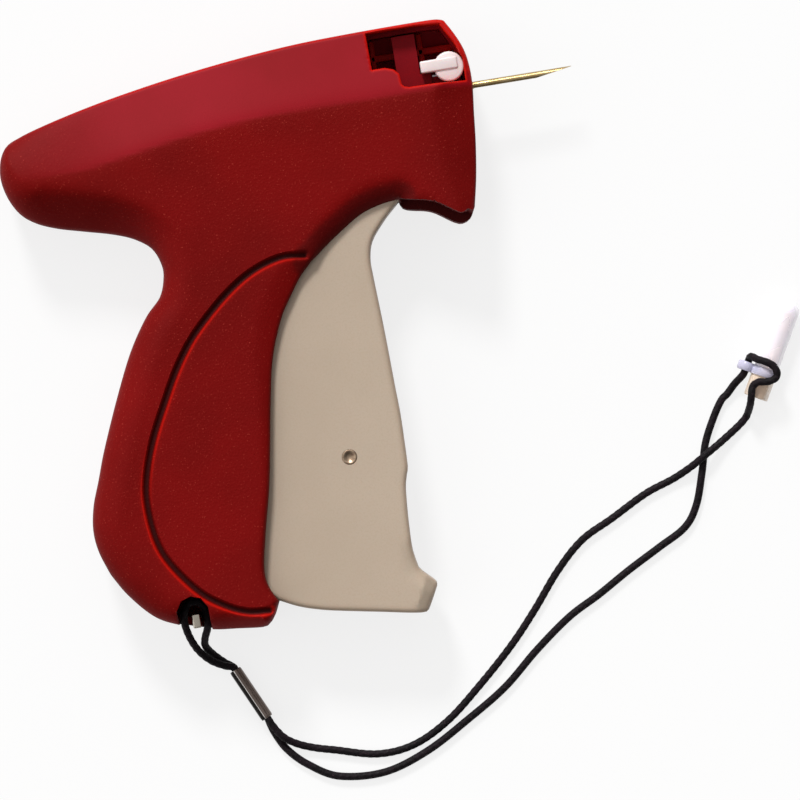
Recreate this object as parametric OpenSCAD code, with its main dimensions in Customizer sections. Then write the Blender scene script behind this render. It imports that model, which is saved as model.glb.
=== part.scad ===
// Garment tag attacher: a squeeze gun that pushes plastic tag fasteners through cloth.
// It lies on its side: +X runs along the needle, +Y up the gun, +Z out of the resting face.
// The origin is the bottom centre of the gun's own box, without its lanyard.

/* [Housing] */
// Thickness of the closed housing
housing_t = 23; // [22:0.5:28]
// Wall of the two moulded shells
wall = 2; // [1.6:0.1:2.4]
// Height of the needle's axis above the origin
barrel_y = 53; // [52:0.25:54]
// Play between a moving piece and the piece that guides it
play = 0.3; // [0.2:0.05:0.4]
// Running clearance on the radius of a pin
running = 0.05; // [0.02:0.01:0.08]

/* [Trigger] */
// Width across the trigger's two cheeks
trigger_w = 15; // [14:0.5:16]
// Wall of the trigger's channel
trigger_wall = 1.6; // [1.2:0.1:2]
// Travel of the trigger from rest to full squeeze, in degrees
trigger_travel = 9.4; // [8:0.1:10]
// Radius of the trigger's axle
trigger_axle_r = 2; // [1.6:0.1:2.4]
// Radius of the rivet that drives the lever
rivet_r = 1.85; // [1.5:0.05:2]

/* [Drive] */
// Stroke of the slider and its rod
stroke = 38; // [34:0.5:40]
// Swing of the drive lever, in degrees
lever_swing = 31; // [29:0.5:33]
// Thickness of the drive lever
lever_t = 3; // [2:0.25:4]
// Radius of the lever's axle
lever_axle_r = 2; // [1.5:0.1:2.4]
// Radius of the pin between lever and slider
slider_pin_r = 1.5; // [1.2:0.1:1.8]
// Length of the slider block
slider_len = 18; // [17:0.5:20]
// Height of the slider block
slider_h = 8; // [7:0.5:9]
// Radius of the push rod
rod_r = 0.5; // [0.4:0.05:0.55]
// Radius of the return spring's coil, at the middle of its wire
spring_r = 2.2; // [1.8:0.1:2.6]
// Diameter of the return spring's wire
spring_wire = 0.6; // [0.4:0.05:0.7]
// Number of the return spring's turns
spring_turns = 14; // [10:1:16]

/* [Needle and feed] */
// Outer radius of the needle
needle_r = 0.85; // [0.8:0.05:1]
// How far the needle stands out of the nose
needle_out = 24.2; // [20:0.2:30]
// Length of the straight shank before the point
needle_shank = 14.5; // [12:0.5:18]
// Width of the slot along the needle
needle_slot = 1; // [0.7:0.05:1.1]
// Width of the channel for the strip of fasteners
strip_gap = 1.3; // [1:0.1:1.6]
// Radius of the feed wheel over its teeth
wheel_r = 3.6; // [3.2:0.1:3.8]
// Number of teeth on the feed wheel
wheel_teeth = 10; // [8:1:12]
// Radius of the white knob's disc
knob_r = 3.6; // [3.2:0.1:3.8]

/* [Screws] */
// Radius of a screw's shank
screw_r = 1.2; // [1:0.1:1.4]
// Radius of a screw's head
head_r = 2.4; // [2.2:0.1:2.6]

/* [Lanyard] */
// Diameter of the cord
cord_d = 1.8; // [1.5:0.1:2]
// Length of the crimped ferrule
ferrule_len = 13.9; // [10:0.1:16]
// Outer diameter of the needle cap
cap_d = 6; // [5.6:0.1:6.4]
// Length of the needle cap
cap_len = 24.9; // [20:0.1:28]

/* [Hidden] */
$fn = 48;
eps = 0.01;
mid = housing_t / 2;

// Outline of the shells, clockwise from the rear of the top edge. Each point holds x, y, how far
// the side face stands back from the edge, the edge's share of the height, and 1 where the band
// between them is a flat slope, 0 where it is round.
top_edge = [[-65.7, 57.2, 6, 0.5, 0], [-60, 59.1, 8, 0.55, 0.5], [-52, 61.1, 10, 0.6, 1],
            [-40.7, 63.5, 12, 0.6, 1], [-25.7, 66, 13, 0.6, 1], [-10.7, 67.9, 14, 0.6, 1],
            [4.3, 69.2, 15, 0.6, 1], [19.3, 69.75, 14, 0.6, 1], [34, 69.85, 8, 0.6, 1],
            [41, 69.2, 3, 0.6, 1]];
nose_edge = [[43.6, 64.4, 3, 0.6, 1], [45.4, 57, 4, 0.6, 1], [45, 49, 6, 0.6, 1],
             [44, 40, 6, 0.6, 1], [42.8, 32, 3.5, 0.55, 0.5], [41.2, 24, 1, 0.6, 0],
             [38.4, 20.9, 0.8, 0.6, 0], [34.3, 22.4, 1.2, 0.6, 0], [29.3, 25.2, 3, 0.7, 0],
             [25.6, 26.2, 4, 0.8, 0]];
arch_edge = [[23.6, 28.6, 4, 0.8, 0], [19.3, 28, 4.5, 0.8, 0], [9.3, 23.6, 4.5, 0.8, 0],
             [4.3, 20.2, 3, 0.82, 0], [0.6, 17.4, 1.5, 0.85, 0]];
grip_front = [[-5.7, 9.9, 1.2, 0.85, 0], [-10.7, 1, 1.2, 0.85, 0], [-14.3, -13.5, 1.2, 0.85, 0],
              [-17.7, -32.5, 1.2, 0.85, 0], [-21.7, -49.5, 1.2, 0.85, 0],
              [-22.4, -54.5, 1.2, 0.85, 0], [-20.2, -61.4, 1.2, 0.8, 0]];
grip_foot = [[-21.8, -64.8, 2, 0.6, 0], [-24.5, -67, 2.5, 0.5, 0], [-30.7, -66.3, 4, 0.5, 0],
             [-37.4, -65.3, 5, 0.5, 0], [-45.7, -62.8, 6, 0.5, 0], [-53, -58.1, 6, 0.5, 0],
             [-59, -48.7, 6, 0.5, 0]];
grip_rear = [[-61.4, -38.5, 6, 0.5, 0], [-60.2, -31.5, 6, 0.5, 0], [-55.7, -19.1, 6, 0.5, 0],
             [-50.7, -7.4, 6, 0.5, 0], [-45.7, 3, 6, 0.5, 0], [-40.7, 10.6, 6, 0.5, 0],
             [-36.7, 14.6, 6, 0.5, 0], [-34.9, 21.5, 6, 0.5, 0], [-36.7, 26.6, 6, 0.5, 0],
             [-42, 30.2, 6.5, 0.5, 0], [-50.7, 33, 7, 0.5, 0], [-59, 35.3, 7, 0.5, 0]];
tail_end = [[-65.7, 38.9, 7, 0.5, 0], [-69, 44.9, 7, 0.5, 0], [-69.4, 51.6, 6, 0.5, 0]];
// Shares of the way from the edge to the side face at which the shell has a ring of points
outer_rings = [0, 0.2, 0.45, 0.7, 1];
inner_rings = [0, 0.5, 1];

// Plan places
trigger_axle_at = [14.3, 34.5];
rivet_at = [2, -30.2];
lever_axle_at = [-7.2, -12.4];
slider_rest_x = -41;
knob_at = [40.5, barrel_y + 5.1];
knob_shaft_r = 2;
knob_face = [mid + 4.5, mid + 7.5];
knob_bar = 1;
knob_arm_x = [knob_at[0] - 6.8, knob_at[0] + 2.4];
knob_arm_y = [knob_at[1] - 0.7, knob_at[1] + 2.3];
lock_r = 2.6;  // the knob's body between the shells
lock_half = 3.8;
lock_flat = 0.8;
post_at = [-40.4, -63];
post_size = [2, 3.4];
screw_places = [[-58, 47], [22, 44.2], [-53, -40], [-35, 3]];

// Trigger profile: what shows below the shells, then what they hide
trigger_front = [[23.6, 28.4], [19.3, 24.4], [15.8, 20], [14.5, 15.6], [14.9, 4.5], [15.5, -15.5],
                 [15.6, -28.5], [15.3, -34.9], [14.2, -39], [13.5, -47.5], [13.4, -54.5]];
trigger_toe = [[14.1, -59], [17.8, -63.5], [14.5, -69.75]];
trigger_bottom = [[4.3, -68.1], [-5.7, -66.2], [-15.7, -63.5], [-20.4, -61.2]];
trigger_hidden = [[-25, -57], [-26.5, -50], [-24, -36], [-19, -14], [-14, 1], [-5, 15],
                  [3, 25], [8, 36], [12, 41], [19, 40.5], [22.5, 35]];

// Drive lever
lever_ratio = lever_swing / trigger_travel;
lever_arm_r = 3.6;
lever_hub_r = 4.6;
bracket_t = 2;
bracket_gap = lever_t + 2 * play;
bracket_posts = [[-36, -5.5], [-46, -24]];
bracket_post_r = 2.2;

// Feed
guide_x = [20, 36];
strip_x = [28.4, 33.1];
tower_x = [28, 33.5];
tower_top = barrel_y + 14.3;
frame_x = [26.5, 35];
frame_foot = barrel_y - 15;
plate_foot = frame_foot - 6;
plate_h = 7;
guide_half = 3;
wheel_x = [29.6, 31.9];
wheel_at = [barrel_y - 8.4, mid + wheel_r + 0.25];
wheel_axle_r = 1;
pawl_pin_at = [wheel_at[0] - 10, mid + 5];
pawl_pin_r = 0.9;
block_half = 4;
nose_x = 45.4;
base_x = [guide_x[1], 43];
needle_bore_r = rod_r + 0.08;
rod_tip_x = 27.2;

// Cord routes. The eye runs from the ferrule round the post and back, and the loop from the
// ferrule's other end to the cap's ring, over the cap and back.
ferrule_end = [-27.9, -89.2];
ferrule_dir = [-0.418, 0.908];
ferrule_h = 3.9;
ferrule_w = 3;
ferrule_top = ferrule_end + ferrule_len * ferrule_dir;
low = 0.9;
upper = 3;
eye_route = [[-36, -75.1, 3.6], [-39, -73.3, 4.6], [-41.5, -70.4, 6.2], [-43, -66.8, 8.7],
             [-43.6, -63, 11], [-43.1, -60.4, 12.5], [-41.6, -58.6, 13.3], [-39.5, -58.7, 13.4],
             [-38.2, -60.4, 13.2], [-37.9, -63, 12.4], [-38.4, -65.4, 10.8],
             [-39.4, -67.6, 8.3], [-39.7, -69.6, 5.6], [-38.3, -71.9, 3], [-35.9, -74.4, 1.3]];
upper_route = [[-26.5, -92, 2.9], [-24.6, -94.6, 2.7], [-21.8, -96.6, 1.5], [-18, -98.2, 0.9],
               [-13, -99.6, 0.9], [-3, -102.2, 0.9], [6, -101.4, 0.9], [15, -97, 0.9],
               [24, -89.8, 0.9], [33, -81.6, 0.9], [40, -74, 0.9], [47, -65.6, 0.9],
               [54, -59.2, 0.9], [62, -55.2, 0.9], [71, -50.6, 0.9], [78, -48.2, 0.9],
               [82.8, -46, 1.8], [86.7, -43.7, 2.9], [90.8, -41.3, 1.7], [95.6, -38.2, 0.9]];
lower_route = [[92.6, -31.4, 0.9], [90, -35.4, 0.9], [87.2, -41, 0.9], [85.2, -48, 0.9],
               [82.6, -55.4, 0.9], [79, -60.2, 0.9], [72, -64, 0.9], [64, -68.2, 0.9],
               [56, -72.8, 0.9], [48, -77, 0.9], [39, -83.6, 0.9], [30, -91.2, 0.9],
               [20, -97.4, 0.9], [9, -103.4, 0.9], [-2, -106.8, 0.9], [-13, -106, 0.9],
               [-20, -102, 0.9], [-24.4, -97.6, 0.9], [-26.8, -93, 0.9]];
// Over the cap: along the cap from its open end, to its left, and up
cap_route = [[-5.4, 0.5, 0.9], [-4, 0.4, 1.9], [-2.5, 0.6, 4.4], [-1.2, 0.9, 6.3],
             [0.2, 1.3, 7.1], [2.2, 1.7, 6.9], [3.7, 0.8, 7.1], [4.3, -0.8, 7.2],
             [5.3, -2.2, 7.3], [6.5, -2.9, 7], [7.7, -2.4, 7.2], [8.7, -1, 7.2],
             [8.9, 1, 7.1], [8.8, 2.8, 6.3], [9, 4.2, 5], [8.8, 4.6, 3.7], [8, 4.6, 3],
             [4.9, 4.6, 3], [3.6, 4.9, 2.5], [1.4, 5.8, 1.4], [-1.4, 6.6, 0.9]];
cap_open = [100.8, -32];
cap_dir = [0.489, 0.872];
cap_wall = 0.8;
collar_at = 5.3;
collar_t = 2.2;
collar_r = cap_d / 2 + 0.6;
ring_r = 2.2;
ring_at = collar_r + ring_r - 1.2;

// ---------- small helpers ----------

function unit(v) = v / norm(v);
function turned(v, a) = [v[0] * cos(a) - v[1] * sin(a), v[0] * sin(a) + v[1] * cos(a)];
function normal_in(p, i) =
    let (n = len(p), d = unit([for (k = [0, 1]) p[(i + 1) % n][k] - p[(i + n - 1) % n][k]]))
    [d[1], -d[0]];
function mixed(a, b, t) = a + (b - a) * t;
function between(a, b, c, d, t) =
    0.5 * (2 * b + (c - a) * t + (2 * a - 5 * b + 4 * c - d) * t * t
           + (3 * b - a - 3 * c + d) * t * t * t);
// A smooth curve through all points of an open list, with n steps from each to the next
function curve(p, n) =
    let (last = len(p) - 1)
    [for (i = [0 : last - 1], k = [0 : n - 1])
        between(p[max(i - 1, 0)], p[i], p[i + 1], p[min(i + 2, last)], k / n),
     p[last]];
// The shell's outline with each of its stretches smoothed and its corners kept
function stretch(a, b, n) = curve(concat(a, [b[0]]), n);
function without_last(p) = [for (i = [0 : len(p) - 2]) p[i]];

outline = concat(without_last(stretch(top_edge, nose_edge, 2)),
                 without_last(curve(nose_edge, 2)),
                 [nose_edge[len(nose_edge) - 1]],
                 without_last(stretch(arch_edge, grip_front, 2)),
                 without_last(curve(grip_front, 2)),
                 [grip_front[len(grip_front) - 1]],
                 without_last(curve(concat(grip_foot, grip_rear, tail_end, [top_edge[0]]), 2)));

// One ring of the shell: s is the share of the way in, skin the depth below the outer surface
function shell_ring(p, s, skin) =
    [for (i = [0 : len(p) - 1])
        let (q = p[i], n = normal_in(p, i), flat = q[4], a = 90 * s,
             inward = mixed(1 - cos(a), s, flat), up = mixed(sin(a), s, flat))
        [q[0] + n[0] * (skin + q[2] * inward), q[1] + n[1] * (skin + q[2] * inward),
         (mid - skin) * mixed(q[3], 1, up)]];
function foot_ring(p, skin) =
    [for (i = [0 : len(p) - 1])
        let (n = normal_in(p, i)) [p[i][0] + n[0] * skin, p[i][1] + n[1] * skin, 0]];
function wall_faces(n, a, b) =
    [for (i = [0 : n - 1]) for (f = [[a + i, a + (i + 1) % n, b + (i + 1) % n],
                                     [a + i, b + (i + 1) % n, b + i]]) f];
function flipped(faces) = [for (f = faces) [for (k = [len(f) - 1 : -1 : 0]) f[k]]];

// Triangles that fill a clockwise outline, cut off one ear at a time
function turn(a, b, c) = (b[0] - a[0]) * (c[1] - a[1]) - (b[1] - a[1]) * (c[0] - a[0]);
function in_ear(q, a, b, c) = turn(a, b, q) <= 0 && turn(b, c, q) <= 0 && turn(c, a, q) <= 0;
function is_ear(p, left, k) =
    let (n = len(left), i = left[(k + n - 1) % n], j = left[k], m = left[(k + 1) % n])
    turn(p[i], p[j], p[m]) < 0
    && len([for (q = left) if (q != i && q != j && q != m && in_ear(p[q], p[i], p[j], p[m])) q]) == 0;
function next_ear(p, left, k) = is_ear(p, left, k) ? k : next_ear(p, left, (k + 1) % len(left));
function ears(p, left, from = 0) =
    len(left) == 3 ? [left] :
    let (n = len(left), k = next_ear(p, left, from % n))
    concat([[left[(k + n - 1) % n], left[k], left[(k + 1) % n]]],
           ears(p, [for (i = [0 : n - 1]) if (i != k) left[i]], k + 1));
function lid_faces(ring, from) =
    [for (f = ears(ring, [for (i = [0 : len(ring) - 1]) i])) [for (k = f) k + from]];

// Half shell standing on the parting plane, its hollow side down
n_around = len(outline);
outer = concat([foot_ring(outline, 0)], [for (s = outer_rings) shell_ring(outline, s, 0)]);
inner = concat([foot_ring(outline, wall)], [for (s = inner_rings) shell_ring(outline, s, wall)]);
function ring_walls(first, last) =
    [for (k = [first : last - 1]) for (f = wall_faces(n_around, k * n_around, (k + 1) * n_around)) f];
function lid(rings, k) = lid_faces(rings[k], k * n_around);
function all_points(rings) = [for (r = rings) for (q = r) q];

module half_shell() {
    rings = concat(outer, inner);
    top = len(outer) - 1;
    last = len(rings) - 1;
    polyhedron(all_points(rings),
               concat(ring_walls(0, top), lid(rings, top), flipped(ring_walls(top + 1, last)),
                      flipped(lid(rings, last)),
                      flipped(wall_faces(n_around, 0, (top + 1) * n_around))), convexity = 8);
}

// The same half, not hollow: what stands inside the housing ends at its outer face
module half_solid() {
    top = len(outer) - 1;
    polyhedron(all_points(outer), concat(ring_walls(0, top), lid(outer, top),
                                         flipped(lid(outer, 0))), convexity = 8);
}

module plan_box(x, y, z) {
    translate([x[0], y[0], z[0]]) cube([x[1] - x[0], y[1] - y[0], z[1] - z[0]]);
}

module disc(at, r, z) {
    translate([at[0], at[1], z[0]]) cylinder(r = r, h = z[1] - z[0]);
}

// A flat bar with round ends from a to b
module bar2d(a, b, r) {
    heading = atan2(b[1] - a[1], b[0] - a[0]);
    steps = 10;
    polygon(concat([for (k = [0 : steps]) a + r * round_at(heading + 90 + 180 * k / steps)],
                   [for (k = [0 : steps]) b + r * round_at(heading - 90 + 180 * k / steps)]));
}
function round_at(a) = [cos(a), sin(a)];

module along_x(x, y, z, r) {
    translate([x[0], y, z]) rotate([0, 90, 0]) cylinder(r = r, h = x[1] - x[0]);
}

// ---------- housing ----------

// The space that the trigger's channel sweeps through, cut out of both shells
module trigger_bay() {
    half = trigger_w / 2 + play + 0.2;
    translate([0, 0, mid - half]) linear_extrude(2 * half)
        polygon([[23.9, 20], [23.9, 36], [10, 31], [0, 24], [-12, 10], [-18, -4], [-24, -33],
                 [-28, -50], [-28, -62.9], [-19, -62.9], [-19, -75], [30, -75], [30, 20]]);
}

module needle_hole() {
    along_x([base_x[1], nose_x + 2], barrel_y, mid, needle_r + play);
}

// Ribs that guide the slider, from z = 0 at the wall's inner face up to reach
module slider_rails(reach) {
    rail_x = [slider_rest_x - slider_len / 2 - 3, slider_rest_x + stroke + slider_len / 2 + 3];
    gap = slider_h / 2 + play;
    for (s = [-1, 1])
        plan_box(rail_x, s > 0 ? [barrel_y + gap, barrel_y + gap + 1.6]
                               : [barrel_y - gap - 1.6, barrel_y - gap], [0, reach]);
    plan_box(rail_x, [barrel_y - 0.8, barrel_y + 0.8], [0, mid - wall / 2 - block_half - play]);
}

module panel_groove() {
    route = [[-2.5, 19.6], [-8, 19], [-15.7, 16.1], [-25.7, 8.4], [-34, -1.6], [-40.7, -13.5],
             [-45.5, -25], [-47.3, -34], [-45.9, -44.5], [-41, -52.8], [-36, -58.4],
             [-30, -62], [-23.4, -63.2]];
    g = curve(route, 3);
    half = 0.65;
    translate([0, 0, housing_t - 0.8]) linear_extrude(3)
        polygon(concat(
            [for (i = [0 : len(g) - 1]) let (t = side_of(g, i)) g[i] + t * half],
            [for (i = [len(g) - 1 : -1 : 0]) let (t = side_of(g, i)) g[i] - t * half]));
}
function side_of(p, i) =
    let (d = unit(p[min(i + 1, len(p) - 1)] - p[max(i - 1, 0)])) [-d[1], d[0]];

module window_cut() {
    translate([0, 0, mid + 2]) linear_extrude(housing_t)
        polygon([[22.2, 68.8], [22.2, 60.1], [25.3, 60.1], [27.4, 59.4], [28.5, 58.1],
                 [28.7, 55.8], [30.3, 54.7], [43.9, 54], [43.6, 59.6], [42, 64.2],
                 [39.9, 68.7]]);
    disc(knob_at, knob_r + play, [mid + 2, housing_t + 1]);
}

module post_notch() {
    translate([0, 0, wall + 4]) linear_extrude(housing_t)
        polygon([[-44.7, -70], [-44.7, -60], [-43.2, -57.6], [-40.8, -56.8], [-38.4, -57.6],
                 [-37, -60], [-37, -70]]);
}

module lock_room()
    disc(knob_at, lock_r + play, [mid - lock_half - running, mid + lock_half + running]);

module right_shell() color([0.5, 0.07, 0.08]) {
    difference() {
        union() {
            difference() {
                translate([0, 0, mid]) half_shell();
                trigger_bay();
                window_cut();
                post_notch();
                panel_groove();
            }
            for (p = screw_places)
                disc(p, screw_r + 1.8, [mid, housing_t - wall / 2]);
            disc(trigger_axle_at, trigger_axle_r + 1.5, [mid + trigger_w / 2 + play,
                                                         housing_t - wall / 2]);
            for (p = bracket_posts)
                disc(p, bracket_post_r + 1.2, [housing_t - wall - 2.4, housing_t - wall / 2]);
            intersection() {
                translate([0, 0, housing_t - wall / 2]) mirror([0, 0, 1])
                    slider_rails(mid - wall / 2 - lever_t / 2 - 0.7);
                translate([0, 0, mid]) half_solid();
            }
        }
        for (p = screw_places) disc(p, screw_r, [mid - 1, mid + 7]);
        disc(trigger_axle_at, trigger_axle_r, [mid, housing_t - wall]);
        for (p = bracket_posts) disc(p, bracket_post_r, [mid, housing_t - wall]);
        lock_room();
        needle_hole();
    }
}

module left_shell() color([0.45, 0.06, 0.07]) {
    difference() {
        union() {
            difference() {
                translate([0, 0, mid]) mirror([0, 0, 1]) half_shell();
                trigger_bay();
                post_notch();
            }
            for (p = screw_places) disc(p, head_r + 1, [wall / 2, mid]);
            disc(trigger_axle_at, trigger_axle_r + 1.5, [wall / 2, mid - trigger_w / 2 - play]);
            for (p = bracket_posts)
                disc(p, bracket_post_r + 1.2, [wall / 2, wall + 2.4]);
            translate([post_at[0], post_at[1], wall / 2]) linear_extrude(wall / 2 + 4)
                bar2d([0, -1], [0, 1], 2.4);
            intersection() {
                union() {
                    disc(knob_at, 3.4, [wall / 2, mid - 4.2]);
                    translate([0, 0, wall / 2]) slider_rails(mid - wall / 2 - lever_t / 2 - 0.7);
                    // ribs that show through the window
                    plan_box([21, 44], [62.3, 63.9], [wall / 2, mid - 3.3]);
                    plan_box([33.8, 35.2], [57.5, 68.6], [wall / 2, mid - 3.3]);
                }
                translate([0, 0, mid]) mirror([0, 0, 1]) half_solid();
            }
        }
        for (p = screw_places) {
            disc(p, head_r + 0.2, [-1, 4]);
            disc(p, screw_r + 0.15, [-1, mid + 1]);
        }
        disc(trigger_axle_at, trigger_axle_r, [wall, mid]);
        for (p = bracket_posts) disc(p, bracket_post_r, [wall, mid]);
        disc(knob_at, knob_shaft_r + running, [wall, mid]);
        lock_room();
        translate([post_at[0], post_at[1], wall]) linear_extrude(mid) square(post_size, center = true);
        needle_hole();
    }
}

module shell_screws() color([0.7, 0.7, 0.72]) {
    for (p = screw_places) difference() {
        union() {
            disc(p, head_r, [1.6, 4]);
            disc(p, screw_r, [4 - eps, mid + 7]);
        }
        for (a = [0, 90]) translate([p[0], p[1], 1.2]) rotate(a)
            cube([2.6, 0.6, 1.6], center = true);
    }
}

// ---------- trigger ----------

trigger_profile = concat(without_last(curve(trigger_front, 3)), [trigger_front[len(trigger_front) - 1]],
                         trigger_toe, without_last(curve(trigger_bottom, 3)),
                         [trigger_bottom[len(trigger_bottom) - 1]], trigger_hidden);
function pushed_in(p, from, to, d) =
    [for (i = [from : to]) let (n = normal_in(p, i)) [p[i][0] + n[0] * d, p[i][1] + n[1] * d]];

module trigger() color([0.75, 0.67, 0.56]) {
    front_n = 3 * (len(trigger_front) - 1) + 1;
    shown_n = front_n + len(trigger_toe) + 3 * (len(trigger_bottom) - 1) + 1;
    hollow = concat(pushed_in(trigger_profile, 1, shown_n - 2, trigger_wall),
                    [[-24, -58], [-45, -50], [-45, 50], [24, 50]]);
    difference() {
        translate([0, 0, mid - trigger_w / 2]) linear_extrude(trigger_w) polygon(trigger_profile);
        translate([0, 0, mid - trigger_w / 2 + trigger_wall])
            linear_extrude(trigger_w - 2 * trigger_wall) polygon(hollow);
        disc(trigger_axle_at, trigger_axle_r + running, [0, housing_t]);
        disc(rivet_at, rivet_r, [0, housing_t]);
    }
}

module trigger_axle() color([0.6, 0.6, 0.62])
    disc(trigger_axle_at, trigger_axle_r, [wall, housing_t - wall]);

module trigger_rivet() color([0.6, 0.47, 0.32]) difference() {
    disc(rivet_at, rivet_r, [mid - trigger_w / 2, mid + trigger_w / 2]);
    translate([rivet_at[0], rivet_at[1], mid + trigger_w / 2 - 0.3])
        cylinder(r1 = 0.3, r2 = 1.1, h = 0.31);
}

// ---------- drive ----------

// Where the rivet and the slider's pin stand at a trigger angle, seen from the lever
function seen_from_lever(p, a) = lever_axle_at + turned(p - lever_axle_at, a * lever_ratio);
function rivet_path(a) =
    seen_from_lever(trigger_axle_at + turned(rivet_at - trigger_axle_at, -a), a);
function pin_path(a) =
    seen_from_lever([slider_rest_x + stroke * a / trigger_travel, barrel_y], a);
slot_steps = 6;
rivet_slot = [for (k = [0 : slot_steps]) rivet_path(trigger_travel * k / slot_steps)];
pin_slot = [for (k = [0 : slot_steps]) pin_path(trigger_travel * k / slot_steps)];

// A slot along a pin's path. The path turns back a little at its far end, so the slot has a
// slightly wider round there.
module slot2d(path, r, end_r) {
    last = len(path) - 2;
    polygon(concat([for (i = [0 : last]) path[i] + side_of(path, i) * r],
                   [for (i = [last : -1 : 0]) path[i] - side_of(path, i) * r]));
    translate(path[0]) circle(r + 0.01);
    translate((path[last] + path[last + 1]) / 2) circle(end_r);
}

module drive_lever() color([0.55, 0.56, 0.58]) {
    top = pin_slot[0] + 0.5 * unit(pin_slot[0] - lever_axle_at);
    bottom = rivet_slot[0];
    translate([0, 0, mid - lever_t / 2]) linear_extrude(lever_t) difference() {
        union() {
            bar2d(top, lever_axle_at, lever_arm_r);
            bar2d(lever_axle_at, bottom, rivet_r + 2);
            translate(lever_axle_at) circle(lever_hub_r);
        }
        slot2d(pin_slot, slider_pin_r + running, slider_pin_r + 0.45);
        slot2d(rivet_slot, rivet_r + running, rivet_r + 0.45);
        translate(lever_axle_at) circle(lever_axle_r + running);
    }
}

module lever_bracket() color([0.62, 0.62, 0.64]) {
    difference() {
        union() {
            for (s = [0, 1])
                translate([0, 0, s == 0 ? mid - bracket_gap / 2 - bracket_t : mid + bracket_gap / 2])
                    linear_extrude(bracket_t) {
                        bar2d(bracket_posts[0], lever_axle_at, 4);
                        bar2d(bracket_posts[1], lever_axle_at, 4);
                    }
            for (p = bracket_posts) disc(p, bracket_post_r, [wall, housing_t - wall]);
        }
        disc(lever_axle_at, lever_axle_r, [0, housing_t]);
    }
}

module lever_axle() color([0.7, 0.7, 0.72])
    disc(lever_axle_at, lever_axle_r, [mid - bracket_gap / 2 - bracket_t,
                                       mid + bracket_gap / 2 + bracket_t]);

slider_x = [slider_rest_x - slider_len / 2, slider_rest_x + slider_len / 2];

module slider() color([0.85, 0.85, 0.83]) difference() {
    plan_box(slider_x, [barrel_y - slider_h / 2, barrel_y + slider_h / 2],
             [mid - block_half, mid + block_half]);
    plan_box([slider_x[0] + 2, slider_x[1] - 2], [barrel_y - slider_h, barrel_y + slider_h],
             [mid - lever_t / 2 - play, mid + lever_t / 2 + play]);
    disc([slider_rest_x, barrel_y], slider_pin_r, [0, housing_t]);
    along_x([slider_x[1] - 1.9, slider_x[1] + 1], barrel_y, mid, rod_r);
}

module slider_pin() color([0.7, 0.7, 0.72])
    disc([slider_rest_x, barrel_y], slider_pin_r, [mid - block_half, mid + block_half]);

module push_rod() color([0.75, 0.75, 0.77])
    along_x([slider_x[1] - 1.9, rod_tip_x], barrel_y, mid, rod_r);

// The spring's wire: six-sided rings along a helix, flat ends on the slider and the guide
module return_spring() color([0.65, 0.65, 0.67]) {
    per_turn = 10;
    x0 = slider_x[1] + spring_wire / 2;
    x1 = guide_x[0] - spring_wire / 2;
    n = spring_turns * per_turn;
    sides = 6;
    points = [for (i = [0 : n], k = [0 : sides - 1])
        let (a = 360 * i / per_turn, b = 360 * k / sides, r = spring_r + spring_wire / 2 * cos(b))
        [x0 + (x1 - x0) * i / n + spring_wire / 2 * sin(b),
         barrel_y + r * cos(a), mid + r * sin(a)]];
    polyhedron(points, concat(tube_walls(n, sides),
                              [[for (k = [0 : sides - 1]) k],
                               [for (k = [sides - 1 : -1 : 0]) n * sides + k]]), convexity = 20);
}
function tube_walls(n, sides) =
    [for (i = [0 : n - 1], k = [0 : sides - 1])
        let (a = i * sides + k, b = i * sides + (k + 1) % sides)
        for (f = [[a, a + sides, b + sides], [a, b + sides, b]]) f];

// ---------- feed ----------

module feed_guide() color([0.4, 0.06, 0.06]) difference() {
    union() {
        plan_box(guide_x, [barrel_y - block_half, barrel_y + block_half + 0.5],
                 [mid - block_half, mid + block_half]);
        plan_box(tower_x, [barrel_y, tower_top], [mid - guide_half, mid + guide_half]);
        plan_box(frame_x, [frame_foot, barrel_y], [mid - guide_half, mid + strip_gap / 2 + 1]);
        for (x = [[frame_x[0], strip_x[0]], [strip_x[1], frame_x[1]]])
            plan_box(x, [plate_foot, barrel_y], [mid - guide_half, mid + plate_h]);
    }
    along_x([guide_x[0] - 1, guide_x[1] + 1], barrel_y, mid, needle_bore_r);
    plan_box(strip_x, [frame_foot - 1, tower_top + 1], [mid - strip_gap / 2, mid + strip_gap / 2]);
    along_x([strip_x[0], strip_x[1]], wheel_at[0], wheel_at[1], wheel_r + play);
    along_x([frame_x[0] - 1, frame_x[1] + 1], wheel_at[0], wheel_at[1], wheel_axle_r);
    along_x([frame_x[0] - 1, frame_x[1] + 1], pawl_pin_at[0], pawl_pin_at[1], pawl_pin_r);
}

// Each tooth of the wheel has a steep face and a sloping back
wheel_profile = [for (k = [0 : wheel_teeth - 1]) let (a = 360 * k / wheel_teeth,
                     step = 360 / wheel_teeth)
                 for (q = [(wheel_r - 1) * round_at(a), wheel_r * round_at(a + 0.1 * step),
                           wheel_r * round_at(a + 0.35 * step),
                           (wheel_r - 1) * round_at(a + 0.75 * step)]) q];

module feed_wheel() color([0.9, 0.9, 0.88])
    translate([wheel_x[0], wheel_at[0], wheel_at[1]]) rotate([90, 0, 90])
        linear_extrude(wheel_x[1] - wheel_x[0]) difference() {
            polygon(wheel_profile);
            circle(wheel_axle_r + running);
        }

module feed_axle() color([0.7, 0.7, 0.72])
    along_x(frame_x, wheel_at[0], wheel_at[1], wheel_axle_r);

module feed_pawl() color([0.6, 0.6, 0.62]) difference() {
    translate([wheel_x[0], 0, 0]) rotate([90, 0, 90]) linear_extrude(wheel_x[1] - wheel_x[0]) {
        bar2d(pawl_pin_at, pawl_pin_at + [4.6, 1.6], 0.6);
        translate(pawl_pin_at) circle(pawl_pin_r + 0.9);
    }
    along_x(frame_x, pawl_pin_at[0], pawl_pin_at[1], pawl_pin_r + running);
}

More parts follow.
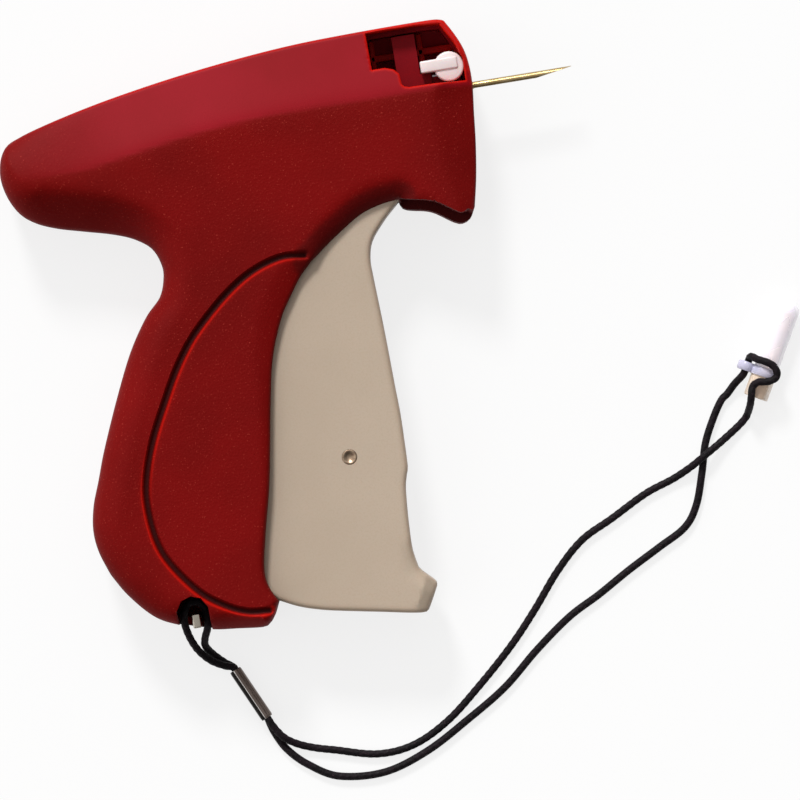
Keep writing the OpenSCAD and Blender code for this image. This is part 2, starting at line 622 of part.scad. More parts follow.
module pawl_pin() color([0.7, 0.7, 0.72])
    along_x(frame_x, pawl_pin_at[0], pawl_pin_at[1], pawl_pin_r);

module detent_spring() color([0.75, 0.75, 0.77]) {
    leaf_z = wheel_at[1] + wheel_r + 0.4;
    foot_y = barrel_y - block_half + 0.2;
    plan_box([30, 31.5], [foot_y, foot_y + 0.4], [mid + block_half, leaf_z + 0.4]);
    plan_box([30, 31.5], [foot_y - 5, foot_y + 0.4], [leaf_z, leaf_z + 0.4]);
}

module needle_base() color([0.9, 0.9, 0.9]) difference() {
    plan_box(base_x, [barrel_y - 3.6, barrel_y + 3.4], [mid - 3.4, mid + 3.4]);
    along_x([base_x[0] - 1, base_x[0] + 2.1], barrel_y, mid, needle_bore_r);
    along_x([base_x[0] + 2, base_x[1] + 1], barrel_y, mid, needle_r);
    plan_box([base_x[0] - 1, base_x[0] + 2], [barrel_y, barrel_y + 5],
             [mid - needle_slot / 2, mid + needle_slot / 2]);
    plan_box([base_x[0] + 0.3, base_x[0] + 1.9], [barrel_y + 1, barrel_y + 5],
             [mid + needle_slot / 2 + 0.2, mid + needle_slot / 2 + 0.6]);
    disc(knob_at, lock_r + running, [0, housing_t]);
}

module cutter_blade() color([0.85, 0.85, 0.87])
    plan_box([base_x[0] + 0.3, base_x[0] + 1.9], [barrel_y + 1, barrel_y + 3.9],
             [mid + needle_slot / 2 + 0.2, mid + needle_slot / 2 + 0.6]);

needle_tip_x = nose_x + needle_out;

module needle() color([0.78, 0.68, 0.45]) difference() {
    along_x([base_x[0] + 2, needle_tip_x], barrel_y, mid, needle_r);
    along_x([base_x[0] + 1, needle_tip_x + 1], barrel_y, mid, needle_bore_r);
    plan_box([nose_x + 0.3, needle_tip_x + 1], [barrel_y - 2 * needle_r, barrel_y],
             [mid - needle_slot / 2, mid + needle_slot / 2]);
    // the long slanted point
    translate([nose_x + needle_shank, barrel_y - needle_r, mid])
        rotate(atan((2 * needle_r - 0.12) / (needle_out - needle_shank)))
            translate([0, -4 * needle_r, -2 * needle_r])
                cube([needle_out, 4 * needle_r, 4 * needle_r]);
}

module needle_lock() color([0.95, 0.88, 0.88]) difference() {
    union() {
        disc(knob_at, knob_r, knob_face);
        disc(knob_at, knob_shaft_r, [wall + play, knob_face[0] + eps]);
        disc(knob_at, lock_r, [mid - lock_half, mid + lock_half]);
        plan_box(knob_arm_x, knob_arm_y, [knob_face[0], knob_face[1] + knob_bar]);
    }
    // the flat that frees the needle's base when the knob is turned up
    plan_box([knob_at[0] + lock_flat, knob_at[0] + 2 * lock_r],
             [knob_at[1] - 2 * lock_r, knob_at[1] + 2 * lock_r],
             [mid - lock_half - eps, mid + lock_half + eps]);
}

// ---------- lanyard ----------

module strap_post() color([0.72, 0.72, 0.74])
    translate([post_at[0], post_at[1], wall]) linear_extrude(housing_t - 2 * wall - 3)
        square(post_size, center = true);

// A tube along a route: each ring is square to the route there
function ahead(p, i) = unit(p[min(i + 1, len(p) - 1)] - p[max(i - 1, 0)]);
function ring_at(p, i, d, sides) =
    let (t = ahead(p, i), s = unit(cross([0, 0, 1], t)), u = cross(t, s))
    [for (k = [0 : sides - 1]) p[i] + d / 2 * (cos(360 * k / sides) * s + sin(360 * k / sides) * u)];
module tube(p, d, sides = 8) {
    n = len(p) - 1;
    points = [for (i = [0 : n]) for (q = ring_at(p, i, d, sides)) q];
    polyhedron(points, concat(flipped(tube_walls(n, sides)),
                              [[for (k = [sides - 1 : -1 : 0]) k],
                               [for (k = [0 : sides - 1]) n * sides + k]]), convexity = 20);
}

// Places where the two strands meet the ferrule's faces, one above the other
function at_ferrule(end, z) = [end[0], end[1], z];
away = [ferrule_dir[0], ferrule_dir[1], 0];
function on_cap(q) = [cap_open[0] + q[0] * cap_dir[0] - q[1] * cap_dir[1],
                      cap_open[1] + q[0] * cap_dir[1] + q[1] * cap_dir[0], q[2]];
eye_start = ferrule_top + 0.9 * ferrule_dir;
eye_path = concat([at_ferrule(ferrule_top, upper), at_ferrule(eye_start, upper)], eye_route,
                  [at_ferrule(eye_start, low), at_ferrule(ferrule_top, low)]);
loop_path = concat([at_ferrule(ferrule_end, upper)], upper_route, [for (q = cap_route) on_cap(q)],
                   lower_route, [at_ferrule(ferrule_end, low)]);

module lanyard_eye() color([0.06, 0.05, 0.05]) tube(curve(eye_path, 1), cord_d);

module lanyard_loop() color([0.06, 0.05, 0.05]) tube(curve(loop_path, 1), cord_d);

module ferrule() color([0.35, 0.3, 0.28])
    translate([ferrule_end[0], ferrule_end[1], 0]) rotate(atan2(away[1], away[0]))
        translate([0, 0, ferrule_h / 2]) rotate([90, 0, 90]) linear_extrude(ferrule_len)
            bar2d([0, -(ferrule_h - ferrule_w) / 2], [0, (ferrule_h - ferrule_w) / 2],
                  ferrule_w / 2);

module needle_cap() color([0.88, 0.87, 0.95])
    translate([cap_open[0], cap_open[1], cap_d / 2]) rotate(atan2(cap_dir[1], cap_dir[0]))
        rotate([0, 90, 0]) intersection() {
            difference() {
                union() {
                    cylinder(d = cap_d, h = cap_len - cap_d / 2);
                    translate([0, 0, cap_len - cap_d / 2]) sphere(d = cap_d);
                    translate([0, 0, collar_at]) cylinder(r = collar_r, h = collar_t);
                    translate([0, ring_at, collar_at]) cylinder(r = ring_r, h = collar_t);
                }
                translate([0, 0, -1]) cylinder(d = cap_d - 2 * cap_wall, h = cap_len - cap_d / 2 + 1);
                translate([0, ring_at, collar_at - 1])
                    cylinder(r = cord_d / 2 + 0.1, h = collar_t + 2);
            }
            translate([-20 + cap_d / 2, 0, 10]) cube([40, 40, 60], center = true);
        }

right_shell();
left_shell();
shell_screws();
trigger();
trigger_axle();
trigger_rivet();
drive_lever();
lever_bracket();
lever_axle();
slider();
slider_pin();
push_rod();
return_spring();
feed_guide();
feed_wheel();
feed_axle();
feed_pawl();
pawl_pin();
detent_spring();
needle_base();
needle();
needle_lock();
cutter_blade();
strap_post();
lanyard_eye();
ferrule();
lanyard_loop();
needle_cap();
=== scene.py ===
import math

import bpy
import numpy as np
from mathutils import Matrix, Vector
from mathutils.geometry import delaunay_2d_cdt


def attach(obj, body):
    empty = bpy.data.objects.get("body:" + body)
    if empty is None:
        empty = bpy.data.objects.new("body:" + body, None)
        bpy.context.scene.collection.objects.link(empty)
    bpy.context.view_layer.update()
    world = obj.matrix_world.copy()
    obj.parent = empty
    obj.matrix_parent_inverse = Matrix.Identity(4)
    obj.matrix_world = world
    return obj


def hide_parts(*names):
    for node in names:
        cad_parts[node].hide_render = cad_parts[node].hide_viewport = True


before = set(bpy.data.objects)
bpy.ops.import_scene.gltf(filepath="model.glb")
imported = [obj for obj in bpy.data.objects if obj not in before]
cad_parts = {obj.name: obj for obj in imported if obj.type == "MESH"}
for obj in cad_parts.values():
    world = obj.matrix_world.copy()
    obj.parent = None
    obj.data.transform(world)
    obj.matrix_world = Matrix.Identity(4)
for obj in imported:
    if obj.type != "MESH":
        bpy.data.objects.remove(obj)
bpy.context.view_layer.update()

# ---- Camera, floor and light -------------------------------------------------------------
# The tool lies on its side on a white sheet and is seen from straight above, turned a little
# against the frame. Soft light comes from above the barrel's side and a little from the nose.

MM = 0.001
HOUSING_T = 23.0
MID = HOUSING_T / 2

view_centre = (16.1, -18.7)
view_width = 192.0
view_turn = math.radians(-9.3)
lens = 300.0
camera_data = bpy.data.cameras.new("camera")
camera_data.lens = lens
camera_data.sensor_width = 36.0
camera_data.clip_end = 20.0
camera = bpy.data.objects.new("camera", camera_data)
camera_height = MID + view_width * lens / camera_data.sensor_width
camera.location = (view_centre[0] * MM, view_centre[1] * MM, camera_height * MM)
camera.rotation_euler = (0.0, 0.0, view_turn)
bpy.context.collection.objects.link(camera)
scene = bpy.context.scene
scene.camera = camera
scene.view_settings.view_transform = "Standard"


class Wire:
    """One output of a shader node. Arithmetic on it adds Math nodes to the same material."""

    def __init__(self, tree, socket=None):
        self.tree = tree
        self.socket = socket

    def node(self, kind, settings=None, inputs=None, output=0):
        """One output of a new node with these settings and input values or wires."""
        made = self.tree.nodes.new(kind)
        for name, value in (settings or {}).items():
            setattr(made, name, value)
        for name, value in (inputs or {}).items():
            socket = made.inputs[name]
            if isinstance(value, Wire):
                self.tree.links.new(value.socket, socket)
            else:
                socket.default_value = value
        return Wire(self.tree, made.outputs[output])

    def math(self, operation, first, second=0.0):
        return self.node("ShaderNodeMath", {"operation": operation}, {0: first, 1: second})

    def mixed(self, low, high):
        """The colour low where this wire is 0 and high where it is 1."""
        colours = {6: low, 7: high}
        for slot, colour in colours.items():
            if not isinstance(colour, Wire) and len(colour) == 3:
                colours[slot] = (*colour, 1.0)
        settings = {"data_type": "RGBA", "clamp_factor": True}
        return self.node("ShaderNodeMix", settings, {0: self, **colours}, 2)

    def spread(self, low, high, start=0.0, end=1.0):
        """Start where this wire is low, end where it is high, straight between, clamped."""
        return self.node("ShaderNodeMapRange", None, {0: self, 1: low, 2: high, 3: start, 4: end})

    def __add__(self, other):
        return self.math("ADD", self, other)

    def __mul__(self, other):
        return self.math("MULTIPLY", self, other)

    def __sub__(self, other):
        return self.math("SUBTRACT", self, other)

    def __rsub__(self, other):
        return self.math("SUBTRACT", other, self)

    __radd__ = __add__
    __rmul__ = __mul__


def new_material(name):
    """A material, the wire that its nodes start from, and its Principled shader."""
    material = bpy.data.materials.new(name)
    material.use_nodes = True
    tree = material.node_tree
    return material, Wire(tree), tree.nodes["Principled BSDF"]


def connect(shader, **wires):
    """Joins wires to the shader's sockets; an underscore stands for a space."""
    for name, wire in wires.items():
        socket = shader.inputs[name.replace("_", " ")]
        wire.tree.links.new(wire.socket, socket)


def mesh_object(name, points_mm, faces, material):
    mesh = bpy.data.meshes.new(name)
    mesh.from_pydata([tuple(c * MM for c in p) for p in points_mm], [], faces)
    mesh.validate()
    mesh.materials.append(material)
    obj = bpy.data.objects.new(name, mesh)
    bpy.context.collection.objects.link(obj)
    return obj


def smooth(obj, angle=35.0):
    obj.data.shade_smooth()
    obj.data.set_sharp_from_angle(angle=math.radians(angle))


def any_ray(start, first, *others):
    """1 where the ray is of one of these kinds, otherwise 0."""
    found = start.node("ShaderNodeLightPath", output=f"Is {first} Ray")
    for kind in others:
        ray = start.node("ShaderNodeLightPath", output=f"Is {kind} Ray")
        found = start.math("MAXIMUM", found, ray)
    return found


white_part = 0.8
floor_material, start, shader = new_material("white_sheet")
shader.inputs["Base Color"].default_value = (0.9, 0.9, 0.9, 1.0)
shader.inputs["Roughness"].default_value = 0.9
shader.inputs["Specular IOR Level"].default_value = 0.0
tree = floor_material.node_tree
seen = any_ray(start, "Camera", "Glossy", "Transmission")
glow = start.node("ShaderNodeEmission", None, {"Color": (1.0, 1.0, 1.0, 1.0), "Strength": 1.0})
sheet = start.node("ShaderNodeMixShader", None, {0: seen * white_part, 2: glow})
tree.links.new(shader.outputs[0], sheet.socket.node.inputs[1])
tree.links.new(sheet.socket, tree.nodes["Material Output"].inputs["Surface"])
floor_half = 3000.0
floor_z = -0.05
floor = mesh_object("floor", [(x * floor_half, y * floor_half, floor_z)
                              for x, y in ((-1, -1), (1, -1), (1, 1), (-1, 1))],
                    [(0, 1, 2, 3)], floor_material)

world = bpy.data.worlds.new("studio")
scene.world = world
world.use_nodes = True
tree = world.node_tree
start = Wire(tree)
background = tree.nodes["Background"]
background.inputs["Color"].default_value = (1.0, 0.98, 0.97, 1.0)
seen = any_ray(start, "Camera", "Transmission")
# The room is bright behind the barrel and dim on the trigger's side
ray = start.node("ShaderNodeTexCoord")
towards_window = start.node("ShaderNodeVectorMath", {"operation": "DOT_PRODUCT"},
                            {0: ray, 1: (-0.38, 0.78, 0.5)}, 1)
room = towards_window.spread(-0.3, 0.9, 0.06, 0.8)
level = start.math("MAXIMUM", room, seen)
tree.links.new(level.socket, background.inputs["Strength"])


def sun(name, strength, softness, azimuth, elevation):
    """A sun at an azimuth counted from +X towards +Y."""
    data = bpy.data.lights.new(name, "SUN")
    data.energy = strength
    data.angle = math.radians(softness)
    lamp = bpy.data.objects.new(name, data)
    a = math.radians(azimuth)
    e = math.radians(elevation)
    towards = Vector((math.cos(a) * math.cos(e), math.sin(a) * math.cos(e), math.sin(e)))
    lamp.rotation_euler = towards.to_track_quat("Z", "Y").to_euler()
    bpy.context.collection.objects.link(lamp)


sun("key", 2.6, 12.0, 98.0, 36.0)
sun("fill", 0.4, 50.0, 185.0, 35.0)

# ---- Lanyard cord ------------------------------------------------------------------------
# A black braided cord, 1.8 mm thick. One short bight goes round the steel post at the grip's
# heel; the long loop leaves the ferrule's other end, lies on the table and holds the cap.

CORD_D = 1.8
ferrule_end = (-27.9, -89.2)
ferrule_dir = (-0.418, 0.908)
FERRULE_LEN = 13.9
low_strand = 0.9
high_strand = 3.0
ferrule_top = tuple(e + FERRULE_LEN * d for e, d in zip(ferrule_end, ferrule_dir))
eye_route = [(-36, -75.1, 3.6), (-39, -73.3, 4.6), (-41.5, -70.4, 6.2), (-43, -66.8, 8.7),
             (-43.6, -63, 11), (-43.1, -60.4, 12.5), (-41.6, -58.6, 13.3), (-39.5, -58.7, 13.4),
             (-38.2, -60.4, 13.2), (-37.9, -63, 12.4), (-38.4, -65.4, 10.8), (-39.4, -67.6, 8.3),
             (-39.7, -69.6, 5.6), (-38.3, -71.9, 3), (-35.9, -74.4, 1.3)]
upper_route = [(-26.5, -92, 2.9), (-24.6, -94.6, 2.7), (-21.8, -96.6, 1.5), (-18, -98.2, 0.9),
               (-13, -99.6, 0.9), (-3, -102.2, 0.9), (6, -101.4, 0.9), (15, -97, 0.9),
               (24, -89.8, 0.9), (33, -81.6, 0.9), (40, -74, 0.9), (47, -65.6, 0.9),
               (54, -59.2, 0.9), (62, -55.2, 0.9), (71, -50.6, 0.9), (78, -48.2, 0.9),
               (82.8, -46, 1.8), (86.7, -43.7, 2.9), (90.8, -41.3, 1.7), (95.6, -38.2, 0.9)]
lower_route = [(92.6, -31.4, 0.9), (90, -35.4, 0.9), (87.2, -41, 0.9), (85.2, -48, 0.9),
               (82.6, -55.4, 0.9), (79, -60.2, 0.9), (72, -64, 0.9), (64, -68.2, 0.9),
               (56, -72.8, 0.9), (48, -77, 0.9), (39, -83.6, 0.9), (30, -91.2, 0.9),
               (20, -97.4, 0.9), (9, -103.4, 0.9), (-2, -106.8, 0.9), (-13, -106, 0.9),
               (-20, -102, 0.9), (-24.4, -97.6, 0.9), (-26.8, -93, 0.9)]
# Over the cap: along it from its open end, to its left, and up
cap_route = [(-5.4, 0.5, 0.9), (-4, 0.4, 1.9), (-2.5, 0.6, 4.4), (-1.2, 0.9, 6.3),
             (0.2, 1.3, 7.1), (2.2, 1.7, 6.9), (3.7, 0.8, 7.1), (4.3, -0.8, 7.2),
             (5.3, -2.2, 7.3), (6.5, -2.9, 7), (7.7, -2.4, 7.2), (8.7, -1, 7.2),
             (8.9, 1, 7.1), (8.8, 2.8, 6.3), (9, 4.2, 5), (8.8, 4.6, 3.7), (8, 4.6, 3),
             (4.9, 4.6, 3), (3.6, 4.9, 2.5), (1.4, 5.8, 1.4), (-1.4, 6.6, 0.9)]
cap_open = (100.8, -32.0)
cap_dir = (0.489, 0.872)


def on_cap(along, left, up):
    """A point given in the cap's own directions, in the frame's."""
    return (cap_open[0] + along * cap_dir[0] - left * cap_dir[1],
            cap_open[1] + along * cap_dir[1] + left * cap_dir[0], up)


def spline(points, step):
    """A smooth curve through all the points, with about step between its points."""
    p = np.array(points, float)
    p = np.vstack([2 * p[0] - p[1], p, 2 * p[-1] - p[-2]])
    made = []
    for a, b, c, d in zip(p, p[1:], p[2:], p[3:]):
        n = max(1, round(np.linalg.norm((c - b)[:2]) / step))
        for t in np.arange(n)[:, None] / n:
            made.append(0.5 * (2 * b + (c - a) * t + (2 * a - 5 * b + 4 * c - d) * t * t
                               + (3 * b - a - 3 * c + d) * t**3))
    return np.vstack([np.array(made), p[-2]])


def even_path(points, step):
    """The spline through 3-D points, at even steps along its length."""
    fine = spline(points, step / 3)
    run = np.concatenate([[0], np.cumsum(np.linalg.norm(np.diff(fine, axis=0), axis=1))])
    at = np.linspace(0, run[-1], round(run[-1] / step) + 1)
    return np.stack([np.interp(at, run, fine[:, k]) for k in range(3)], axis=1), run[-1]


def noise(place, scale, detail=2.0):
    return place.node("ShaderNodeTexNoise", None, {"Vector": place, "Scale": scale,
                                                   "Detail": detail})


def bump(height, strength, distance):
    return height.node("ShaderNodeBump", None, {"Height": height, "Strength": strength,
                                                "Distance": distance})


def braid_material():
    material, start, shader = new_material("black_braid")
    place = start.node("ShaderNodeTexCoord", output="Object")
    flecks = noise(place, 2600.0, 3.0)
    wear_and_painted_highlight = noise(place, 240.0)
    brown = flecks.spread(0.58, 0.76).mixed((0.0035, 0.0025, 0.0035), (0.05, 0.027, 0.036))
    tone = wear_and_painted_highlight.spread(0.4, 0.75, 0.0, 0.5)
    connect(shader, Base_Color=tone.mixed(brown, (0.016, 0.007, 0.013)),
            Roughness=flecks.spread(0.3, 0.7, 0.5, 0.8),
            Normal=bump(flecks, 0.35, 0.0001))
    shader.inputs["Sheen Weight"].default_value = 0.04
    shader.inputs["Sheen Roughness"].default_value = 0.4
    shader.inputs["Specular IOR Level"].default_value = 0.16
    return material


def tube_faces(rows, sides):
    """Faces between rows of points that go round a tube, and a lid on each end."""
    faces = [(i * sides + k, i * sides + (k + 1) % sides, (i + 1) * sides + (k + 1) % sides,
              (i + 1) * sides + k) for i in range(rows - 1) for k in range(sides)]
    last = (rows - 1) * sides
    return faces + [tuple(range(sides - 1, -1, -1)), tuple(range(last, last + sides))]


def braided_tube(name, route, material):
    """A tube along the route whose skin has the diamond relief of a round braid."""
    points, length = even_path(route, 0.28)
    points[:, 2] = np.maximum(points[:, 2], low_strand)
    sides = 24
    strands = 4
    lay = 3.6
    relief = 0.07
    ahead = np.gradient(points, axis=0)
    ahead /= np.linalg.norm(ahead, axis=1)[:, None]
    side = np.cross([0.0, 0.0, 1.0], ahead[0])
    verts = []
    run = 0.0
    for i, (p, t) in enumerate(zip(points, ahead)):
        side = side - t * np.dot(side, t)
        side /= np.linalg.norm(side)
        up = np.cross(t, side)
        run += 0.0 if i == 0 else np.linalg.norm(p - points[i - 1])
        for k in range(sides):
            a = 2 * math.pi * k / sides
            turn = 2 * math.pi * run / lay
            one = abs(math.sin(strands / 2 * a + turn))
            other = abs(math.sin(strands / 2 * a - turn))
            crown = 1.4 * max(one, other) ** 2 * min(1, 0.6 + one * other)
            r = CORD_D / 2 - relief + relief * crown
            verts.append(p + r * (math.cos(a) * side + math.sin(a) * up))
    obj = mesh_object(name, verts, tube_faces(len(points), sides), material)
    smooth(obj, 80)
    return obj, points, length


black = braid_material()
EYE_LEAD = 0.9
eye_start = tuple(e + EYE_LEAD * d for e, d in zip(ferrule_top, ferrule_dir))
eye_path = [(*ferrule_top, high_strand), (*eye_start, high_strand), *eye_route,
            (*eye_start, low_strand), (*ferrule_top, low_strand)]
loop_path = [(*ferrule_end, high_strand), *upper_route, *[on_cap(*q) for q in cap_route],
             *lower_route, (*ferrule_end, low_strand)]
eye, eye_points, eye_length = braided_tube("eye_cord", eye_path, black)
loop, loop_points, loop_length = braided_tube("loop_cord", loop_path, black)
for cord, node in ((eye, "lanyard_eye"), (loop, "lanyard_loop")):
    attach(cord, "root")
    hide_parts(node)


def declare_cord(points):
    """Builds the cord's points in metres and does nothing with them."""
    [[c * MM for c in p] for p in points[::3]] + [[c * MM for c in points[-1]]]


# ---- Housing halves ----------------------------------------------------------------------
# Two moulded shells of dark red plastic, mirror images about the middle plane and held together
# by four screws. The flat sides have a fine spark texture, the band along the top slopes down
# to its edge and is smooth. Their colour holds painted shade in the groove, over the arch and
# at the chin, and painted highlights along the band's edge, the groove and the window's rim.

# Each stretch of the outline, clockwise: x, y, how far the side stands back from the edge, the
# edge's share of the half height, and 1 for a sloping band or 0 for a rounded edge.
STRETCHES = {
    "top": [(-65.7, 57.2, 10, 0.5, 0.3), (-60.6, 58.9, 12, 0.55, 0.55), (-52, 61.1, 14, 0.6, 0.8),
            (-40.7, 63.5, 14.5, 0.6, 1), (-25.7, 66, 14.6, 0.6, 1), (-10.7, 67.9, 15, 0.6, 1),
            (4.3, 69.2, 15.8, 0.6, 1), (19.3, 69.7, 16.4, 0.6, 1), (34, 69.85, 16.4, 0.6, 1),
            (39.4, 69.7, 16.2, 0.6, 1), (41.1, 69.1, 16, 0.6, 1)],
    "nose": [(41.1, 69.1, 1.5, 0.75, 1), (43.3, 65, 2, 0.74, 1), (44.8, 61, 4, 0.72, 1),
             (45.4, 56.6, 6, 0.7, 1), (45.3, 52, 9, 0.68, 1), (44.7, 46.6, 9.5, 0.68, 1),
             (43.9, 39, 9, 0.7, 1), (42.7, 31, 7, 0.72, 1), (41.2, 24, 4, 0.76, 0.6)],
    "chin": [(41.2, 24, 1.6, 0.8, 0), (39.9, 21.7, 1.4, 0.8, 0), (37.9, 20.8, 1.4, 0.8, 0),
             (35.9, 21.4, 1.8, 0.8, 0), (31.8, 24.2, 3.4, 0.74, 0), (29.3, 25.2, 4.6, 0.68, 0),
             (26.3, 25.8, 5.4, 0.66, 0), (24.2, 26.6, 6, 0.66, 0), (23.4, 28.5, 6, 0.66, 0)],
    "arch": [(23.4, 28.5, 6, 0.6, 0.25), (19.3, 28, 6.2, 0.6, 0.25), (14.3, 26.5, 6, 0.6, 0.25),
             (9.3, 23.6, 5.8, 0.64, 0.25), (4.3, 20.2, 4.8, 0.7, 0.25), (0.6, 17.4, 2.6, 0.84, 0)],
    "front": [(0.6, 17.4, 4.2, 0.82, 0.4), (-2.7, 14.1, 5.2, 0.82, 0.6),
              (-5.7, 9.9, 5.6, 0.83, 0.6), (-8.7, 5.1, 5.4, 0.84, 0.6),
              (-12.1, -3.5, 4.6, 0.86, 0.5), (-14.3, -13.5, 3.4, 0.88, 0.3),
              (-17.7, -32.5, 2, 0.89, 0), (-20.7, -45, 1.6, 0.89, 0), (-22.3, -53, 1.4, 0.89, 0),
              (-22, -57.5, 1.4, 0.88, 0), (-20.2, -61.4, 1.4, 0.85, 0)],
    "foot": [(-20.2, -61.4, 1.6, 0.8, 0), (-21.8, -64.8, 2, 0.7, 0), (-23.2, -66.4, 2.4, 0.62, 0),
             (-24.9, -67, 3, 0.55, 0.4), (-30.7, -66.4, 4, 0.5, 0.5), (-37.4, -65.5, 5, 0.5, 0.3),
             (-45.7, -62.9, 6.5, 0.48, 0), (-50.7, -60, 7.5, 0.45, 0),
             (-55.7, -54.3, 7.5, 0.45, 0), (-59, -48.8, 7.5, 0.45, 0)],
    "rear": [(-59, -48.8, 7.5, 0.45, 0), (-60.9, -43, 7.5, 0.45, 0), (-61.4, -37.7, 7.5, 0.45, 0),
             (-60.4, -32, 7.5, 0.45, 0), (-58.2, -26, 7.5, 0.45, 0), (-55.7, -19.1, 7.5, 0.45, 0),
             (-50.7, -7.4, 7.5, 0.45, 0), (-45.7, 3, 7.5, 0.45, 0), (-40.7, 10.6, 7.5, 0.45, 0),
             (-36.7, 14.8, 7, 0.45, 0), (-35.1, 19, 7, 0.45, 0), (-35, 22.4, 7, 0.43, 0.1),
             (-36.7, 26.6, 7.5, 0.4, 0.4), (-40.7, 29.7, 8, 0.34, 0.7),
             (-45.7, 31.7, 8.6, 0.3, 0.8), (-52, 33.4, 9, 0.28, 0.8),
             (-58.5, 35.2, 9, 0.28, 0.8), (-63.4, 37.3, 8.6, 0.3, 0.6),
             (-66.6, 40, 8.2, 0.36, 0.3), (-68.8, 44.2, 7, 0.42, 0), (-69.7, 49, 6, 0.46, 0),
             (-69, 53.2, 6, 0.48, 0), (-67.4, 56, 7.5, 0.48, 0), (-65.7, 57.2, 9, 0.5, 0)],
}
GROOVE = [(-0.7, 19.1), (-5.7, 19.5), (-10.7, 18.4), (-15.7, 16.2), (-20.7, 12.8),
          (-25.7, 8.5), (-30.7, 3.4), (-35, -2.6), (-38.7, -9.2), (-43.7, -19.2), (-46.7, -28.4),
          (-47.3, -35.5), (-46.3, -43.4), (-43.6, -49.4), (-38.2, -56.4), (-32.5, -60.6),
          (-27.5, -62.7), (-22.6, -63.2)]
WINDOW = [(22.1, 68.9), (22.2, 60.1), (25.3, 60.1), (27.3, 59.4), (28.5, 58.1), (28.7, 55.6),
          (29.2, 54.9), (30.3, 54.6), (36.3, 54.5), (43.9, 54.1), (44, 59.6), (42.4, 63.8),
          (39.7, 68.5), (34, 68.95), (28, 68.95)]
POST_NOTCH = [(-44.7, -70), (-44.7, -60), (-43.2, -57.6), (-40.8, -56.8), (-38.4, -57.6),
              (-37, -60), (-37, -70)]
TRIGGER_BAY = [(23.9, 20), (23.9, 36), (10, 31), (0, 24), (-12, 10), (-18, -4), (-24, -33),
               (-28, -50), (-28, -62.9), (-19, -62.9), (-19, -75), (30, -75), (30, 20)]
SCREWS = [(-58, 47), (22, 44.2), (-53, -40), (-35, 3)]
WALL = 2.0
BAY_TOP = MID + 8.0
NEEDLE_Y = 53.0
NEEDLE_HOLE_R = 1.15


def nearest(points, line):
    """Distance from each point to an open line, and the line's other columns there."""
    a = line[:-1, :2]
    b = line[1:, :2]
    d = b - a
    best = np.full(len(points), 1e9)
    found = np.zeros((len(points), line.shape[1] - 2))
    for i in range(len(a)):
        t = np.clip(((points - a[i]) @ d[i]) / max(d[i] @ d[i], 1e-12), 0, 1)
        gap = np.linalg.norm(points - a[i] - t[:, None] * d[i], axis=1)
        closer = gap < best
        best[closer] = gap[closer]
        values = line[i, 2:] + t[:, None] * (line[i + 1, 2:] - line[i, 2:])
        found[closer] = values[closer]
    return best, found


def inside(points, loop):
    """Which points lie inside a closed loop."""
    x, y = points[:, 0], points[:, 1]
    hit = np.zeros(len(points), bool)
    for (x0, y0), (x1, y1) in zip(loop, [*loop[1:], loop[0]]):
        crosses = (y0 > y) != (y1 > y)
        edge_x = x0 + (y - y0) * (x1 - x0) / (y1 - y0 if y1 != y0 else 1e-9)
        hit ^= crosses & (x < edge_x)
    return hit


def rows_along(line, offsets):
    """Points beside an open line, at each offset to its left."""
    d = np.gradient(line[:, :2], axis=0)
    d /= np.linalg.norm(d, axis=1)[:, None]
    left = np.stack([-d[:, 1], d[:, 0]], axis=1)
    return np.vstack([line[:, :2] + left * o for o in offsets])


def grid_of(xs, ys, shift=0.0):
    """Points in rows along X, with every second row shifted."""
    x, y = np.meshgrid(xs, ys)
    x = x + shift * (np.arange(len(ys)) % 2)[:, None]
    return np.column_stack([x.ravel(), y.ravel()])


def circle(at, r, sides):
    turn = np.linspace(0, 2 * math.pi, sides + 1)[:-1]
    return np.column_stack([at[0] + r * np.cos(turn), at[1] + r * np.sin(turn)])


def plan_mesh(loops, extra, keep):
    """Triangles over the loops' lines and the extra points; keep says which middles stay."""
    points = [tuple(p) for loop in loops for p in loop]
    edges = []
    first = 0
    for loop in loops:
        n = len(loop)
        edges += [(first + i, first + (i + 1) % n) for i in range(n)]
        first += n
    coords = [Vector(p) for p in points] + [Vector(p) for p in extra]
    made, _, tris, _, _, _ = delaunay_2d_cdt(coords, edges, [], 0, 1e-5)
    flat = np.array([tuple(v) for v in made])
    tris = np.array(tris)
    tris = tris[keep(flat[tris].mean(axis=1))]
    a, b, c = (flat[tris[:, k]] for k in range(3))
    area = (b[:, 0] - a[:, 0]) * (c[:, 1] - a[:, 1]) - (b[:, 1] - a[:, 1]) * (c[:, 0] - a[:, 0])
    tris[area < 0] = tris[area < 0][:, ::-1]
    used = np.unique(tris)
    index = np.full(len(flat), -1)
    index[used] = np.arange(len(used))
    return flat[used], index[tris][np.abs(area) > 1e-7]


def solid_between(name, flat, tris, top, bottom, material):
    """A closed mesh: the top surface, the bottom one, and walls along every open edge."""
    n = len(flat)
    verts = np.vstack([np.column_stack([flat, top]), np.column_stack([flat, bottom])])
    faces = [tuple(t) for t in tris] + [tuple(n + i for i in t[::-1]) for t in tris]
    edges = {pair: None for a, b, c in tris for pair in ((a, b), (b, c), (c, a))}
    faces += [(j, i, n + i, n + j) for i, j in edges if (j, i) not in edges]
    return mesh_object(name, verts, [tuple(int(i) for i in f) for f in faces], material)


def mark(obj, **values):
    """Keeps a number for each point of the plan on both faces, for the material."""
    for label, numbers in values.items():
        attribute = obj.data.attributes.new(label, "FLOAT", "POINT")
        attribute.data.foreach_set("value", np.tile(numbers, 2).astype(np.float32))


